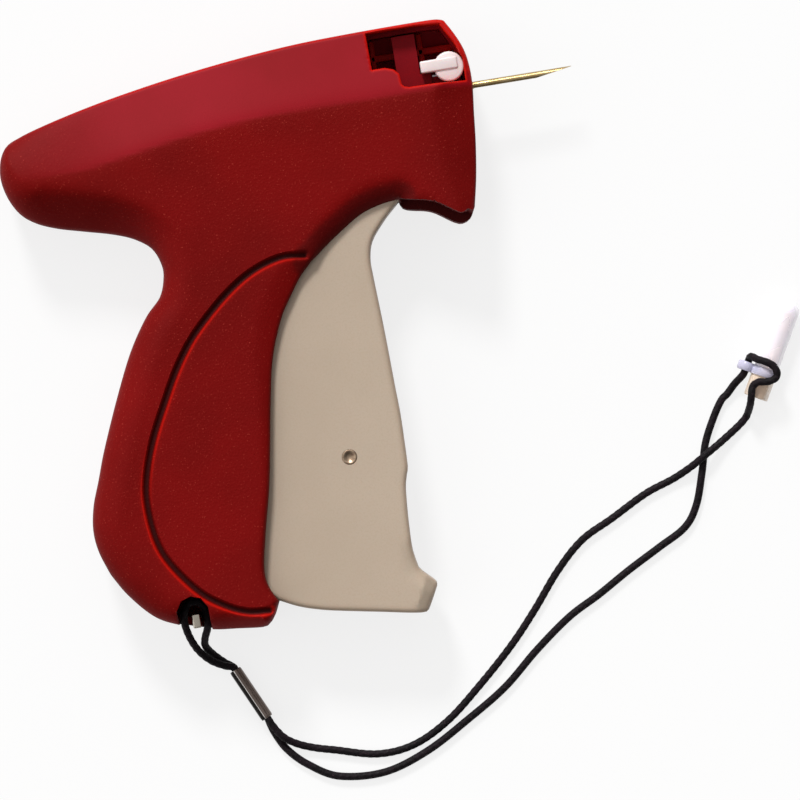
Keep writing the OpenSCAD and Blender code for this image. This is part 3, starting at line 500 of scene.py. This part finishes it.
PANEL = [*GROOVE, *[row[:2] for row in STRETCHES["front"]][::-1]]
outline_rows = {name: spline(rows, 0.9) for name, rows in STRETCHES.items()}
outline = np.vstack([rows[:-1, :2] for rows in outline_rows.values()])
closed_outline = np.vstack([outline, outline[:1]])
groove_line = spline(GROOVE, 0.7)
chin_line = spline([(38.9, 20.9), (37.9, 20.8), (35.9, 21.4), (31.8, 24.2), (29.3, 25.2),
                    (26.3, 25.8), (24.2, 26.3)], 0.5)
LEDGE_W = 2.3
LEDGE_TOP = MID + 3.5
LEDGE_REAR = 23.7
LEDGE_UP_TO = 28.9
SEAM = 0.25
ARCH_BAND = 4.9
ARCH_SHADE = 0.5
CORNER_R = 0.7
GROOVE_DEPTH = 1.05
GROOVE_HALF = 0.76
RIM_R = 0.45
# Width and start of a painted highlight strip along the band's edge beside the window.
RIM_HIGHLIGHT_W = 4.5
RIM_HIGHLIGHT_FROM = (22.4, 56)
BORE_FROM = 42.5
NOTCH_FLOOR = 6
THINNEST = 0.3
HEAD_R = 2.6
HEAD_DEPTH = 4.0
PILLAR_R = 3.4
# The sloping band runs on past the nose, so that its edge stays straight there
past_nose = np.array([[60.0, 68.2, 16.0, 0.6, 1.0]])
outline_rows["top"] = np.vstack([outline_rows["top"], past_nose])


def side_height(points):
    """Height of the outer face above the middle plane, and where the smooth band lies."""
    crispness = 14.0
    sunk = np.zeros(len(points))
    band = np.zeros(len(points))
    for name, line in outline_rows.items():
        gap, values = nearest(points, line)
        back, share, flat = values.T
        t = gap / back
        sloping = np.log1p(np.exp(np.clip(crispness * (1 - t), -40, 40))) / crispness
        rolled = 1 - np.sqrt(1 - np.clip(1 - t, 0, 1) ** 2)
        depth = MID * (1 - share) * (flat * sloping + (1 - flat) * rolled)
        if name == "top":
            band = np.clip((1.03 - t) / 0.06, 0, 1) * np.clip((points[:, 0] + 68) / 30, 0, 1)
        sunk += np.maximum(depth, 0) ** 8
    sunk = sunk ** 0.125
    edge, _ = nearest(points, closed_outline)
    sunk += round_over(edge, CORNER_R)
    return MID - sunk, edge, band


def round_over(gap, radius):
    """How far a rounded corner drops at each distance from its edge."""
    near = np.clip(radius - gap, 0, radius)
    return radius - np.sqrt(radius**2 - near**2)


def groove_depth(points):
    gap, _ = nearest(points, groove_line)
    return GROOVE_DEPTH * np.exp(-(gap / GROOVE_HALF) ** 4), gap


def housing_half(name, near_side, material):
    """One shell in the near half's sense; the far half is turned over afterwards."""
    spacing = 0.95
    grid = grid_of(np.arange(-70, 46, spacing), np.arange(-68, 70, spacing), 0.3)
    rows = rows_along(closed_outline, [-0.12, -0.3, -0.55, -0.9, -1.4, -1.95, -2.05, -2.7])
    beside_groove = rows_along(groove_line, [-1.5, -1.1, -0.8, -0.6, -0.42, -0.2, 0.0,
                                             0.2, 0.42, 0.6, 0.8, 1.1, 1.5])
    by_needle = grid_of(np.arange(42.9, 45.3, 0.3), np.arange(51.6, 54.5, 0.2))
    edge, _ = nearest(grid, closed_outline)
    by_groove, _ = nearest(grid, groove_line)
    grid = grid[(edge > 3.1) & (by_groove > 1.7)]
    by_groove, _ = nearest(rows, groove_line)
    rows = rows[by_groove > 0.7]
    extra = [grid, rows, beside_groove, by_needle]
    loops = [outline, POST_NOTCH]
    window_rim = np.array([*WINDOW, WINDOW[0]], float)
    if near_side:
        fine_rim = np.vstack([np.linspace(a, b, 8)[:-1] for a, b in zip(WINDOW, WINDOW[1:])])
        extra.append(rows_along(fine_rim, [-0.12, -0.25, -0.4, -0.55, -0.9]))
        loops.append(WINDOW)
        extra.append(rows_along(chin_line, [-LEDGE_W - 0.06, -LEDGE_W + 0.06, -LEDGE_W + 0.4]))
    else:
        for at in SCREWS:
            loops.append(circle(at, HEAD_R, 32))
            extra += [circle(at, r, 32) for r in (2.5, 2.9, 3.5)]
    extra = np.vstack(extra)
    edge, _ = nearest(extra, closed_outline)
    extra = extra[inside(extra, outline) & (edge > 0.08)]

    def keep(middle):
        kept = inside(middle, outline)
        if near_side:
            kept &= ~inside(middle, WINDOW) & ~inside(middle, POST_NOTCH)
        return kept

    flat, tris = plan_mesh(loops, extra, keep)
    height, edge, band = side_height(flat)
    cut, by_groove = groove_depth(flat)
    top = MID + height - cut
    # Painted highlight beside the groove: on the panel's side in the upper part and on the outer
    # side lower down, where the groove's edge faces the light.
    lip = np.exp(-(((by_groove - 1.0) / 0.35) ** 2))
    low_down = np.clip((-18 - flat[:, 1]) / 18, 0, 1)
    lip *= np.where(inside(flat, PANEL), 0.75 * (1 - low_down), low_down)
    # Painted shade: darker in the panel groove and in a band over the arch, where the surface lies
    # in shade.
    soil = np.exp(-((by_groove / 0.7) ** 4))
    to_arch, _ = nearest(flat, outline_rows["arch"])
    soil = np.maximum(soil, ARCH_SHADE * np.clip(ARCH_BAND - to_arch, 0, 1))
    if near_side:
        by_window, _ = nearest(flat, window_rim)
        top -= round_over(by_window, RIM_R)
        # Painted highlight along the window's rim, and a weaker strip of it along the band's edge
        # beside the window.
        lip = np.maximum(lip, np.clip(1.3 - by_window / 0.55, 0, 1))
        painted_rim_highlight = (by_window < RIM_HIGHLIGHT_W) & (edge > 0.05) & (edge < 4)
        painted_rim_highlight &= np.all(flat > RIM_HIGHLIGHT_FROM, axis=1)
        lip = np.where(painted_rim_highlight, np.maximum(lip, 0.55), lip)
        to_chin, _ = nearest(flat, chin_line)
        on_ledge = (to_chin < LEDGE_W) & (flat[:, 0] > LEDGE_REAR) & (flat[:, 1] < LEDGE_UP_TO)
        top = np.where(on_ledge, np.minimum(top, LEDGE_TOP), top)
        # Painted shade on the ledge, for the dark gap between the trigger's tip and the chin.
        soil = np.where(on_ledge, 0.8, soil)
    lowest = np.where(inside(flat, TRIGGER_BAY), BAY_TOP, MID)
    across = np.clip(NEEDLE_HOLE_R**2 - (flat[:, 1] - NEEDLE_Y) ** 2, 0, None)
    in_nose = flat[:, 0] > BORE_FROM
    lowest = np.where(in_nose, np.maximum(lowest, MID + np.sqrt(across)), lowest)
    hollow = np.maximum(MID + height - WALL, lowest)
    bottom = np.where(edge < WALL, lowest, hollow)
    bottom = np.where(edge < 0.05, bottom + SEAM, bottom)
    if not near_side:
        in_notch = inside(flat, POST_NOTCH)
        bottom = np.where(in_notch, np.maximum(bottom, HOUSING_T - NOTCH_FLOOR), bottom)
        for at in SCREWS:
            r = np.hypot(flat[:, 0] - at[0], flat[:, 1] - at[1])
            top = np.where(r < HEAD_R - 0.05, HOUSING_T - HEAD_DEPTH, top)
            bottom = np.where(r < PILLAR_R, MID, bottom)
    bottom = np.minimum(bottom, top - THINNEST)
    if not near_side:
        top, bottom = HOUSING_T - top, HOUSING_T - bottom
        tris = tris[:, ::-1]
    obj = solid_between(name, flat, tris, top, bottom, material)
    mark(obj, band=band, edge=edge, lip=lip, soil=soil)
    smooth(obj, 40)
    return obj


def red_plastic(name, textured=True, painted_light=0.0):
    """Dark red moulding: spark texture on the sides, bare gloss on the band and the edges.
    Bright red in its colour is painted highlight and near black is painted shade. Untextured
    pieces take random darker mottling in place of the painted shade, and the last argument
    scatters painted highlight over them.
    """
    material, start, shader = new_material(name)
    place = start.node("ShaderNodeTexCoord", output="Object")
    spark = start.node("ShaderNodeTexVoronoi", None, {"Vector": place, "Scale": 1500.0})
    fine = noise(place, 2600.0)
    cloud = noise(place, 38.0, 4.0)
    if textured:
        band, edge, lip, soil = (
            start.node("ShaderNodeAttribute", {"attribute_name": label}, None, "Fac")
            for label in ("band", "edge", "lip", "soil"))
        rough_side = 1 - band
        grain = rough_side * edge.spread(1.2, 3.0)
        # Painted highlight on the band's rounded edge, with the painted highlights of the groove
        # and window added.
        wear_and_painted_highlight = edge.spread(0.02, 0.12) * edge.spread(0.12, 0.8, 0.8, 0.0) * band + lip
    else:
        rough_side = fine * 0.3
        grain = rough_side
        # Painted highlight scattered over the whole piece, stronger the larger the last argument.
        wear_and_painted_highlight = fine * painted_light
        soil = cloud.spread(0.4, 0.7, 0.0, 0.4)
    side = cloud.spread(0.35, 0.65).mixed((0.15, 0.0011, 0.0007), (0.19, 0.0014, 0.0012))
    # The lighter specks on the spark texture are painted glints.
    speck = fine.spread(0.64, 0.76).mixed(side, (0.34, 0.03, 0.02))
    smooth_red = cloud.spread(0.3, 0.7).mixed((0.235, 0.0025, 0.006), (0.285, 0.0035, 0.011))
    colour = rough_side.mixed(smooth_red, speck)
    # Bright red (0.5, 0.005, 0.001) is the painted highlight colour, near black (0.018, 0.002,
    # 0.002) the painted shade colour.
    shaded = (soil * 0.9).mixed(wear_and_painted_highlight.mixed(colour, (0.5, 0.005, 0.001)), (0.018, 0.002, 0.002))
    connect(shader, Base_Color=shaded,
            Roughness=rough_side.spread(0.0, 1.0, 0.5, 0.6),
            Normal=bump((spark * 0.6 + fine * 0.6) * grain, 0.55, 0.00012))
    shader.inputs["Specular IOR Level"].default_value = 0.08
    return material


shell_red = red_plastic("red_moulding")
inner_red = red_plastic("inner_red", textured=False)
# Ribs and boss lie deep in shade in the nose; painted highlight lightens them.
painted_lit_rib_red = red_plastic("painted_lit_rib_red", textured=False, painted_light=1.5)
right_half = housing_half("right_half", True, shell_red)
left_half = housing_half("left_half", False, shell_red)
for half, node in ((right_half, "right_shell"), (left_half, "left_shell")):
    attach(half, "root")
    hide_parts(node)

# ---- Ribs and bosses of the far half -----------------------------------------------------
# Thin moulded ribs on the far shell's floor stiffen the nose and show through the window; the
# knob turns in a round boss beside them. Both take painted highlight in their colour, to read
# lighter in the shade they lie in.

KNOB = (40.5, 58.1)


def box_points(low, high):
    x0, y0, z0 = low
    x1, y1, z1 = high
    points = [(x, y, z) for x in (x0, x1) for y in (y0, y1) for z in (z0, z1)]
    faces = [(0, 1, 3, 2), (4, 6, 7, 5), (0, 4, 5, 1), (2, 3, 7, 6), (0, 2, 6, 4), (1, 5, 7, 3)]
    return points, faces


def rounded(obj, width, segments=3):
    """Rounds the piece's sharp edges."""
    bevel = obj.modifiers.new("round", "BEVEL")
    bevel.width = width * MM
    bevel.segments = segments
    bevel.limit_method = "ANGLE"
    bevel.angle_limit = math.radians(30)
    made = obj.evaluated_get(bpy.context.evaluated_depsgraph_get())
    obj.data = bpy.data.meshes.new_from_object(made)
    obj.modifiers.clear()
    smooth(obj, 40)


def turned(profile, centre, material, name, steps=48):
    """A piece turned on the lathe from (radius, height) pairs, closed on its axis."""
    points = []
    for r, h in profile:
        for k in range(steps):
            a = 2 * math.pi * k / steps
            points.append((centre[0] + r * math.cos(a), centre[1] + r * math.sin(a), h))
    return mesh_object(name, points, tube_faces(len(profile), steps), material)


rib_top = MID - 3.3
ribs = []
for label, low, high in (("cross_rib", (21.5, 62.3, 4.2), (43.3, 63.9, rib_top)),
                         ("upright_rib", (33.8, 57.6, 3.6), (35.2, 67.4, rib_top)),
                         ("rear_rib", (22.4, 59.4, 3.4), (23.6, 67.4, rib_top))):
    rib = mesh_object(label, *box_points(low, high), painted_lit_rib_red)
    rounded(rib, 0.3)
    ribs.append(rib)
boss = turned([(2.1, 3.4), (3.2, 3.4), (3.4, 3.6), (3.4, 7.0), (3.2, 7.3), (2.1, 7.3)], KNOB,
              painted_lit_rib_red, "knob_boss")
smooth(boss, 40)
for piece in (*ribs, boss):
    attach(piece, "root")

# ---- Screws and plain steel pieces -------------------------------------------------------
# Pins, axles, lever, bracket, rod, spring and screws are steel parts bought in or stamped.
# They keep their solids and take a brushed or a drawn finish.


def steel_finish(name, tint, roughness, stretch):
    """Bare steel with fine drawing marks along stretch and faint stains."""
    material, start, shader = new_material(name)
    place = start.node("ShaderNodeTexCoord", output="Object")
    turned_place = start.node("ShaderNodeMapping", None, {"Vector": place, "Scale": stretch})
    marks = noise(turned_place, 900.0, 4.0)
    stains = noise(place, 120.0)
    dark = tuple(c * 0.62 for c in tint)
    connect(shader, Base_Color=stains.spread(0.35, 0.7).mixed(tint, dark),
            Roughness=marks.spread(0.3, 0.7, roughness - 0.08, roughness + 0.12),
            Normal=bump(marks, 0.25, 0.00005))
    shader.inputs["Metallic"].default_value = 1.0
    return material


pin_steel = steel_finish("pin_steel", (0.62, 0.62, 0.64), 0.28, (1.0, 1.0, 0.1))
stamped_steel = steel_finish("stamped_steel", (0.5, 0.51, 0.53), 0.4, (0.15, 1.0, 1.0))
spring_steel = steel_finish("spring_steel", (0.42, 0.42, 0.45), 0.3, (1.0, 1.0, 1.0))


def finish_node(node, material):
    """A solid that keeps its shape gets its finish."""
    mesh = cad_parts[node].data
    mesh.materials.clear()
    mesh.materials.append(material)


for node in ("shell_screws", "trigger_axle", "lever_axle", "slider_pin", "push_rod", "feed_axle",
             "pawl_pin"):
    finish_node(node, pin_steel)
for node in ("drive_lever", "lever_bracket", "feed_pawl", "cutter_blade"):
    finish_node(node, stamped_steel)
for node in ("return_spring", "detent_spring"):
    finish_node(node, spring_steel)

# ---- Trigger -----------------------------------------------------------------------------
# A cream moulding, a channel open towards the grip. Its front edge is rounded for the fingers,
# with a step above the middle, and its lower end is a toe with a bevelled flank.

TRIGGER_W = 15.0
TRIGGER_WALL = 1.6
EDGE_R = 1.1
AXLE = (14.3, 34.5)
AXLE_HOLE_R = 2.05
RIVET = (2.0, -30.2)
RIVET_R = 1.85
trigger_front = [(23.6, 28.4), (19.3, 24.4), (15.8, 20.1), (14.6, 16), (14.6, 11.6),
                 (14.9, 4.6), (15.2, -3.5), (15.5, -15.5), (15.7, -21.5), (15.6, -28.5),
                 (15.4, -34.6), (14.9, -36.4), (14.2, -39.1), (13.8, -43), (13.5, -47.5),
                 (13.3, -53.5), (13.6, -56.5), (14.1, -59)]
trigger_toe = [(14.8, -60), (17.4, -62.6), (17.8, -63.5), (17.3, -64.8), (14.9, -69.2),
               (14.2, -69.7)]
trigger_bottom = [(13, -69.7), (9.3, -69.1), (4.3, -68.1), (-5.7, -66.2), (-10.7, -65.1),
                  (-15.7, -63.5), (-20.4, -61.2)]
trigger_hidden = [(-25, -57), (-26.5, -50), (-24, -36), (-19, -14), (-14, 1), (-5, 15),
                  (3, 25), (8, 36), (12, 41), (19, 40.5), (22.5, 35)]


def cream_plastic():
    material, start, shader = new_material("cream_moulding")
    place = start.node("ShaderNodeTexCoord", output="Object")
    cloud = noise(place, 30.0, 5.0)
    grain = noise(place, 2200.0)
    edge = start.node("ShaderNodeAttribute", {"attribute_name": "edge"}, None, "Fac")
    cream = cloud.spread(0.3, 0.7).mixed((0.47, 0.375, 0.285), (0.52, 0.42, 0.325))
    speck = grain.spread(0.45, 0.7, 0.0, 0.35).mixed(cream, (0.44, 0.34, 0.25))
    # Painted shade: darker within about 2 mm of the shown edges, where the rounded edge turns away
    # from the light.
    edge_shade = edge.spread(0.2, 1.8, 0.35, 0.0)
    connect(shader, Base_Color=edge_shade.mixed(speck, (0.36, 0.25, 0.17)),
            Roughness=grain.spread(0.3, 0.7, 0.34, 0.5),
            Normal=bump(grain, 0.12, 0.00005))
    shader.inputs["Specular IOR Level"].default_value = 0.35
    shader.inputs["Subsurface Weight"].default_value = 0.05
    shader.inputs["Subsurface Scale"].default_value = 0.002
    return material


def trigger_piece(material):
    front = spline(trigger_front, 0.9)
    toe = spline(trigger_toe, 0.6)
    bottom = spline(trigger_bottom, 0.9)
    hidden = np.array(trigger_hidden, float)
    loop = np.vstack([front, toe, bottom, hidden])
    shown = np.vstack([front, toe, bottom])
    grid = grid_of(np.arange(-27, 24, 1.6), np.arange(-69, 41, 1.6))
    gap, _ = nearest(grid, shown)
    grid = grid[gap > 3.2]
    rows = rows_along(shown, [-0.1, -0.28, -0.5, -0.8, -1.15, -1.55, -1.65, -2.3, -3.0])
    holes = [circle(AXLE, AXLE_HOLE_R, 40), circle(RIVET, RIVET_R, 40)]
    extra = np.vstack([grid, rows])
    gap, _ = nearest(extra, np.vstack([loop, loop[:1]]))
    extra = extra[inside(extra, loop) & (gap > 0.07)]
    for hole in holes:
        extra = extra[~inside(extra, hole)]

    def keep(middle):
        kept = inside(middle, loop)
        for hole in holes:
            kept &= ~inside(middle, hole)
        return kept

    flat, tris = plan_mesh([loop, *holes], extra, keep)
    edge, _ = nearest(flat, shown)
    drop = round_over(edge, EDGE_R)
    bevel, _ = nearest(flat, np.array([(13.3, -53.0), (14.1, -59), (14.8, -60), (17.4, -62.6)]))
    flank, _ = nearest(flat, np.array([(17.8, -63.5), (17.3, -64.8), (14.9, -69.2)]))
    drop += 0.9 * np.clip(1 - bevel / 3.2, 0, 1) * np.clip((-52 - flat[:, 1]) / 5, 0, 1)
    drop += 1.7 * np.clip(1 - flank / 3.0, 0, 1)
    top = MID + TRIGGER_W / 2 - drop
    inner = MID + TRIGGER_W / 2 - TRIGGER_WALL
    bottom_z = np.where(edge < TRIGGER_WALL, MID, inner)
    bottom_z = np.minimum(bottom_z, top - 0.25)
    upper = solid_between("trigger_body", flat, tris, top, bottom_z, material)
    lower = solid_between("trigger_far", flat, tris[:, ::-1], HOUSING_T - top,
                          HOUSING_T - bottom_z, material)
    for obj in (upper, lower):
        mark(obj, edge=edge)
        smooth(obj, 40)
    return upper, lower


for piece in trigger_piece(cream_plastic()):
    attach(piece, "trigger")
    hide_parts("trigger")

# ---- Rivet -------------------------------------------------------------------------------
# A turned bronze pin goes across the trigger and drives the lever inside. Its end is peened
# flush with the cheek and keeps the dimple of the punch.


def bronze_finish():
    material, start, shader = new_material("bronze")
    place = start.node("ShaderNodeTexCoord", output="Object")
    tarnish = noise(place, 900.0, 4.0)
    connect(shader, Base_Color=tarnish.spread(0.35, 0.7).mixed((0.5, 0.38, 0.27),
                                                               (0.2, 0.13, 0.09)),
            Roughness=tarnish.spread(0.3, 0.7, 0.32, 0.55),
            Normal=bump(tarnish, 0.3, 0.00008))
    shader.inputs["Metallic"].default_value = 1.0
    return material


bronze = bronze_finish()
face = MID + TRIGGER_W / 2
far_face = MID - TRIGGER_W / 2
rivet_profile = [(0.05, far_face), (1.5, far_face), (RIVET_R, far_face + 0.35),
                 (RIVET_R, face - 0.12), (1.72, face + 0.02),
                 (1.5, face + 0.04), (1.25, face - 0.02), (0.9, face - 0.25), (0.5, face - 0.42),
                 (0.05, face - 0.48)]
rivet = turned(rivet_profile, RIVET, bronze, "rivet")
smooth(rivet, 50)
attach(rivet, "trigger")
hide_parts("trigger_rivet")

# ---- Slider, feed and needle base --------------------------------------------------------
# White low-friction plastic for the slider and the feed wheel; the feed guide and the needle's
# base are moulded in the housing's red.


def white_plastic(name, colour, roughness):
    material, start, shader = new_material(name)
    place = start.node("ShaderNodeTexCoord", output="Object")
    cloud = noise(place, 160.0, 4.0)
    dull = tuple(c * 0.86 for c in colour)
    connect(shader, Base_Color=cloud.spread(0.35, 0.75).mixed(colour, dull),
            Roughness=cloud.spread(0.3, 0.7, roughness, roughness + 0.15),
            Normal=bump(cloud, 0.05, 0.0001))
    shader.inputs["Subsurface Weight"].default_value = 0.1
    shader.inputs["Subsurface Scale"].default_value = 0.001
    return material


low_friction = white_plastic("low_friction_white", (0.78, 0.78, 0.75), 0.4)
for node in ("slider", "feed_wheel"):
    finish_node(node, low_friction)
for node in ("feed_guide", "needle_base"):
    finish_node(node, inner_red)

# ---- Needle ------------------------------------------------------------------------------
# A slotted steel tube with a brass-coloured coat, ground to a long slanting point. It is moulded
# into its plastic base, which the knob locks in the nose.


def brass_finish():
    material, start, shader = new_material("brass_coat")
    place = start.node("ShaderNodeTexCoord", output="Object")
    along = start.node("ShaderNodeMapping", None, {"Vector": place, "Scale": (0.05, 1.0, 1.0)})
    marks = noise(along, 2600.0, 3.0)
    wear = noise(place, 300.0)
    connect(shader, Base_Color=wear.spread(0.4, 0.65).mixed((0.4, 0.28, 0.12),
                                                            (0.5, 0.38, 0.2)),
            Roughness=marks.spread(0.3, 0.7, 0.24, 0.4),
            Normal=bump(marks, 0.2, 0.00003))
    shader.inputs["Metallic"].default_value = 0.85
    return material


finish_node("needle", brass_finish())

# ---- Locking knob ------------------------------------------------------------------------
# One white moulding: a disc on a short shaft, with an arm towards the rear and a raised bar
# across the disc for the thumb. Turning the arm up frees the needle's base.

knob_white = white_plastic("knob_white", (0.86, 0.76, 0.75), 0.25)
knob_face = MID + 4.5
knob_top = MID + 7.5
disc = turned([(0.05, knob_face), (3.3, knob_face), (3.6, knob_face + 0.3),
               (3.6, knob_top - 0.5), (3.45, knob_top - 0.15), (3.1, knob_top),
               (0.05, knob_top)], KNOB, knob_white, "knob_disc")
smooth(disc, 50)
shaft = turned([(0.05, 2.3), (1.9, 2.3), (2.0, 2.4), (2.0, MID - 3.8), (2.0, knob_face),
                (0.05, knob_face + 0.1)], KNOB, knob_white, "knob_shaft")
smooth(shaft, 50)
arm = mesh_object("knob_arm", *box_points((KNOB[0] - 6.8, KNOB[1] - 0.7, knob_face),
                                          (KNOB[0] + 2.2, KNOB[1] + 2.2, knob_top + 0.45)),
                  knob_white)
rounded(arm, 0.45, 4)
for piece in (disc, shaft, arm):
    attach(piece, "lock")
    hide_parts("needle_lock")

# ---- Strap post --------------------------------------------------------------------------
# A flat steel pin pressed into the far shell, in the notch at the grip's heel. The cord's eye
# goes round it.

POST = (-40.4, -63.0)
post = mesh_object("post", *box_points((POST[0] - 1, POST[1] - 1.7, WALL),
                                       (POST[0] + 1, POST[1] + 1.7, HOUSING_T - WALL - 3)),
                   steel_finish("post_steel", (0.6, 0.55, 0.47), 0.25, (1.0, 1.0, 0.1)))
rounded(post, 0.35, 4)
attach(post, "root")
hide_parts("strap_post")

# ---- Ferrule -----------------------------------------------------------------------------
# A piece of thin dark metal tube, crimped over the ends of both cords, with a painted highlight
# along its fold, a painted dark reflection on its far side and slightly rolled ends.

FERRULE_W = 3.0
FERRULE_H = 3.9
FOLD_AT = 0.39
FOLD_HALF = 0.09


def ferrule_finish():
    """Dark metal drawn along the tube, with a painted highlight line along its fold and a painted
    dark reflection on its far side.
    """
    material, start, shader = new_material("ferrule_metal")
    place = start.node("ShaderNodeTexCoord", output="Object")
    heading = math.atan2(ferrule_dir[1], ferrule_dir[0])
    lined_up = start.node("ShaderNodeMapping", None, {"Vector": place,
                                                      "Rotation": (0.0, 0.0, -heading)})
    middle = ferrule_end[1] * math.cos(heading) - ferrule_end[0] * math.sin(heading)
    across = start.node("ShaderNodeSeparateXYZ", None, {"Vector": lined_up}, "Y")
    past_fold = across - (middle + FOLD_AT) * MM
    # Painted highlight: a thin bright line along the fold.
    painted_fold_highlight = start.math("ABSOLUTE", past_fold).spread(0.6 * FOLD_HALF * MM, FOLD_HALF * MM,
                                                       1.0, 0.0)
    drawn = start.node("ShaderNodeMapping", None, {"Vector": lined_up, "Scale": (0.15, 1.0, 1.0)})
    scuffs = noise(drawn, 900.0, 5.0)
    metal = scuffs.spread(0.35, 0.7).mixed((0.1, 0.075, 0.065), (0.22, 0.175, 0.155))
    # Painted reflection: beyond the fold the metal is near black.
    painted_dark_side = past_fold.spread(0.0, 0.15 * MM).mixed(metal, (0.015, 0.013, 0.012))
    connect(shader, Base_Color=painted_fold_highlight.mixed(painted_dark_side, (0.75, 0.73, 0.7)),
            Roughness=scuffs.spread(0.3, 0.7, 0.22, 0.42),
            Normal=bump(scuffs, 0.3, 0.0001))
    shader.inputs["Metallic"].default_value = 0.9
    return material


def ring_faces(rows, sides):
    """Faces between rows of points, with the last row joined to the first."""
    return [(i * sides + k, (i + 1) % rows * sides + k, (i + 1) % rows * sides + (k + 1) % sides,
             i * sides + (k + 1) % sides) for i in range(rows) for k in range(sides)]


def ferrule_piece(material):
    """A tube of flattened section with its seam, open at both ends."""
    sides = 40
    half_gap = (FERRULE_H - FERRULE_W) / 2
    wall = 0.28
    rows = []
    stations = np.linspace(0, FERRULE_LEN, 60)
    for outer in (True, False):
        for s in stations if outer else stations[::-1]:
            lip = math.exp(-(min(s, FERRULE_LEN - s) / 0.3) ** 2)
            r = FERRULE_W / 2 - (0.1 * lip if outer else wall)
            row = []
            for k in range(sides):
                a = 2 * math.pi * k / sides
                seam = 0.2 * math.exp(-((a - 2.0) / 0.1) ** 2) if outer else 0
                across = (r - seam) * math.cos(a)
                up = FERRULE_H / 2 + (r - seam) * math.sin(a) + math.copysign(
                    half_gap, math.sin(a)) * min(1, abs(math.sin(a)) * 4)
                row.append((ferrule_end[0] + s * ferrule_dir[0] - across * ferrule_dir[1],
                            ferrule_end[1] + s * ferrule_dir[1] + across * ferrule_dir[0],
                            up))
            rows.append(row)
    verts = [p for row in rows for p in row]
    return mesh_object("ferrule_tube", verts, ring_faces(len(rows), sides), material)


ferrule = ferrule_piece(ferrule_finish())
smooth(ferrule, 50)
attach(ferrule, "root")
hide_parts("ferrule")
declare_cord(eye_points)

# ---- Needle cap --------------------------------------------------------------------------
# A soft clear plastic tube, closed and domed at one end, with a collar and a side ring that
# the cord is threaded through. It covers the needle when the tool is put away. The tube and
# its open end have a faint painted glow.

CAP_D = 6.0
CAP_LEN = 24.9
COLLAR_AT = 5.3
COLLAR_T = 2.2
COLLAR_R = CAP_D / 2 + 0.6
RING_R = 2.2
RING_AT = COLLAR_R + RING_R - 1.2
CAP_WALL = 0.8
CAP_STEPS = 56
MOUTH_ROWS = 4
COLLAR_ROWS = 9


def clear_plastic(name, low, high, clearness, glow=0.0):
    material, start, shader = new_material(name)
    place = start.node("ShaderNodeTexCoord", output="Object")
    haze = noise(place, 180.0, 4.0)
    tint = haze.spread(0.3, 0.7).mixed(low, high)
    connect(shader, Base_Color=tint, Emission_Color=tint,
            Roughness=haze.spread(0.3, 0.7, 0.18, 0.36),
            Normal=bump(haze, 0.08, 0.0002))
    shader.inputs["Transmission Weight"].default_value = clearness
    # Emission is painted light: the plastic glows though it is no lamp, for light the white sheet
    # sends up through it.
    shader.inputs["Emission Strength"].default_value = glow
    shader.inputs["IOR"].default_value = 1.4
    return material


def cap_ring(profile, centre_left, name, material):
    """A piece turned about the cap's direction from (radius, place along it) pairs."""
    verts = []
    for r, along in profile:
        for k in range(CAP_STEPS):
            a = 2 * math.pi * k / CAP_STEPS
            verts.append(on_cap(along, centre_left + r * math.cos(a),
                                max(0.0, CAP_D / 2 + r * math.sin(a))))
    return mesh_object(name, verts, ring_faces(len(profile), CAP_STEPS), material)


def arc_rows(radius, centre, first, last, n):
    """(radius, along) pairs on a quarter of a dome."""
    turn = np.radians(np.linspace(first, last, n))
    return [(max(0.02, radius * math.cos(a)), centre + radius * math.sin(a)) for a in turn]


clear = clear_plastic("clear_plastic", (0.93, 0.91, 1.0), (0.99, 0.93, 1.0), 0.28, 0.1)
collar_tint = clear_plastic("collar_plastic", (0.55, 0.56, 0.76), (0.7, 0.66, 0.8), 0.2)
# Tan on the cap's open end, with a faint painted glow.
mouth_tint = clear_plastic("tan_mouth", (0.78, 0.62, 0.5), (0.84, 0.68, 0.52), 0.2, 0.06)
r_out = CAP_D / 2
r_in = r_out - CAP_WALL
dome = CAP_LEN - r_out
tube_profile = [(r_in, 0.1), (r_in + 0.15, 0.0), (r_out - 0.2, 0.0), (r_out, 0.2),
                (r_out, COLLAR_AT), (COLLAR_R - 0.15, COLLAR_AT), (COLLAR_R, COLLAR_AT + 0.15),
                (COLLAR_R, COLLAR_AT + COLLAR_T - 0.15),
                (COLLAR_R - 0.15, COLLAR_AT + COLLAR_T), (r_out, COLLAR_AT + COLLAR_T),
                *arc_rows(r_out, dome, 0, 89, 12), *arc_rows(r_in, dome, 89, 0, 10)]
cap_tube = cap_ring(tube_profile, 0.0, "cap_tube", clear)
for tint in (collar_tint, mouth_tint):
    cap_tube.data.materials.append(tint)
for polygon in cap_tube.data.polygons:
    row = polygon.index // CAP_STEPS
    if row < MOUTH_ROWS or row == len(tube_profile) - 1:
        polygon.material_index = 2
    elif row < COLLAR_ROWS:
        polygon.material_index = 1
smooth(cap_tube, 45)
hole_r = CORD_D / 2 + 0.1
ring_profile = [(hole_r + 0.1, COLLAR_AT), (RING_R - 0.3, COLLAR_AT), (RING_R, COLLAR_AT + 0.3),
                (RING_R, COLLAR_AT + COLLAR_T - 0.3), (RING_R - 0.3, COLLAR_AT + COLLAR_T),
                (hole_r + 0.1, COLLAR_AT + COLLAR_T), (hole_r, COLLAR_AT + COLLAR_T - 0.2),
                (hole_r, COLLAR_AT + 0.2)]
cap_eye = cap_ring(ring_profile[::-1], RING_AT, "cap_side_ring", collar_tint)
smooth(cap_eye, 45)
for piece in (cap_tube, cap_eye):
    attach(piece, "root")
    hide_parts("needle_cap")
declare_cord(loop_points)
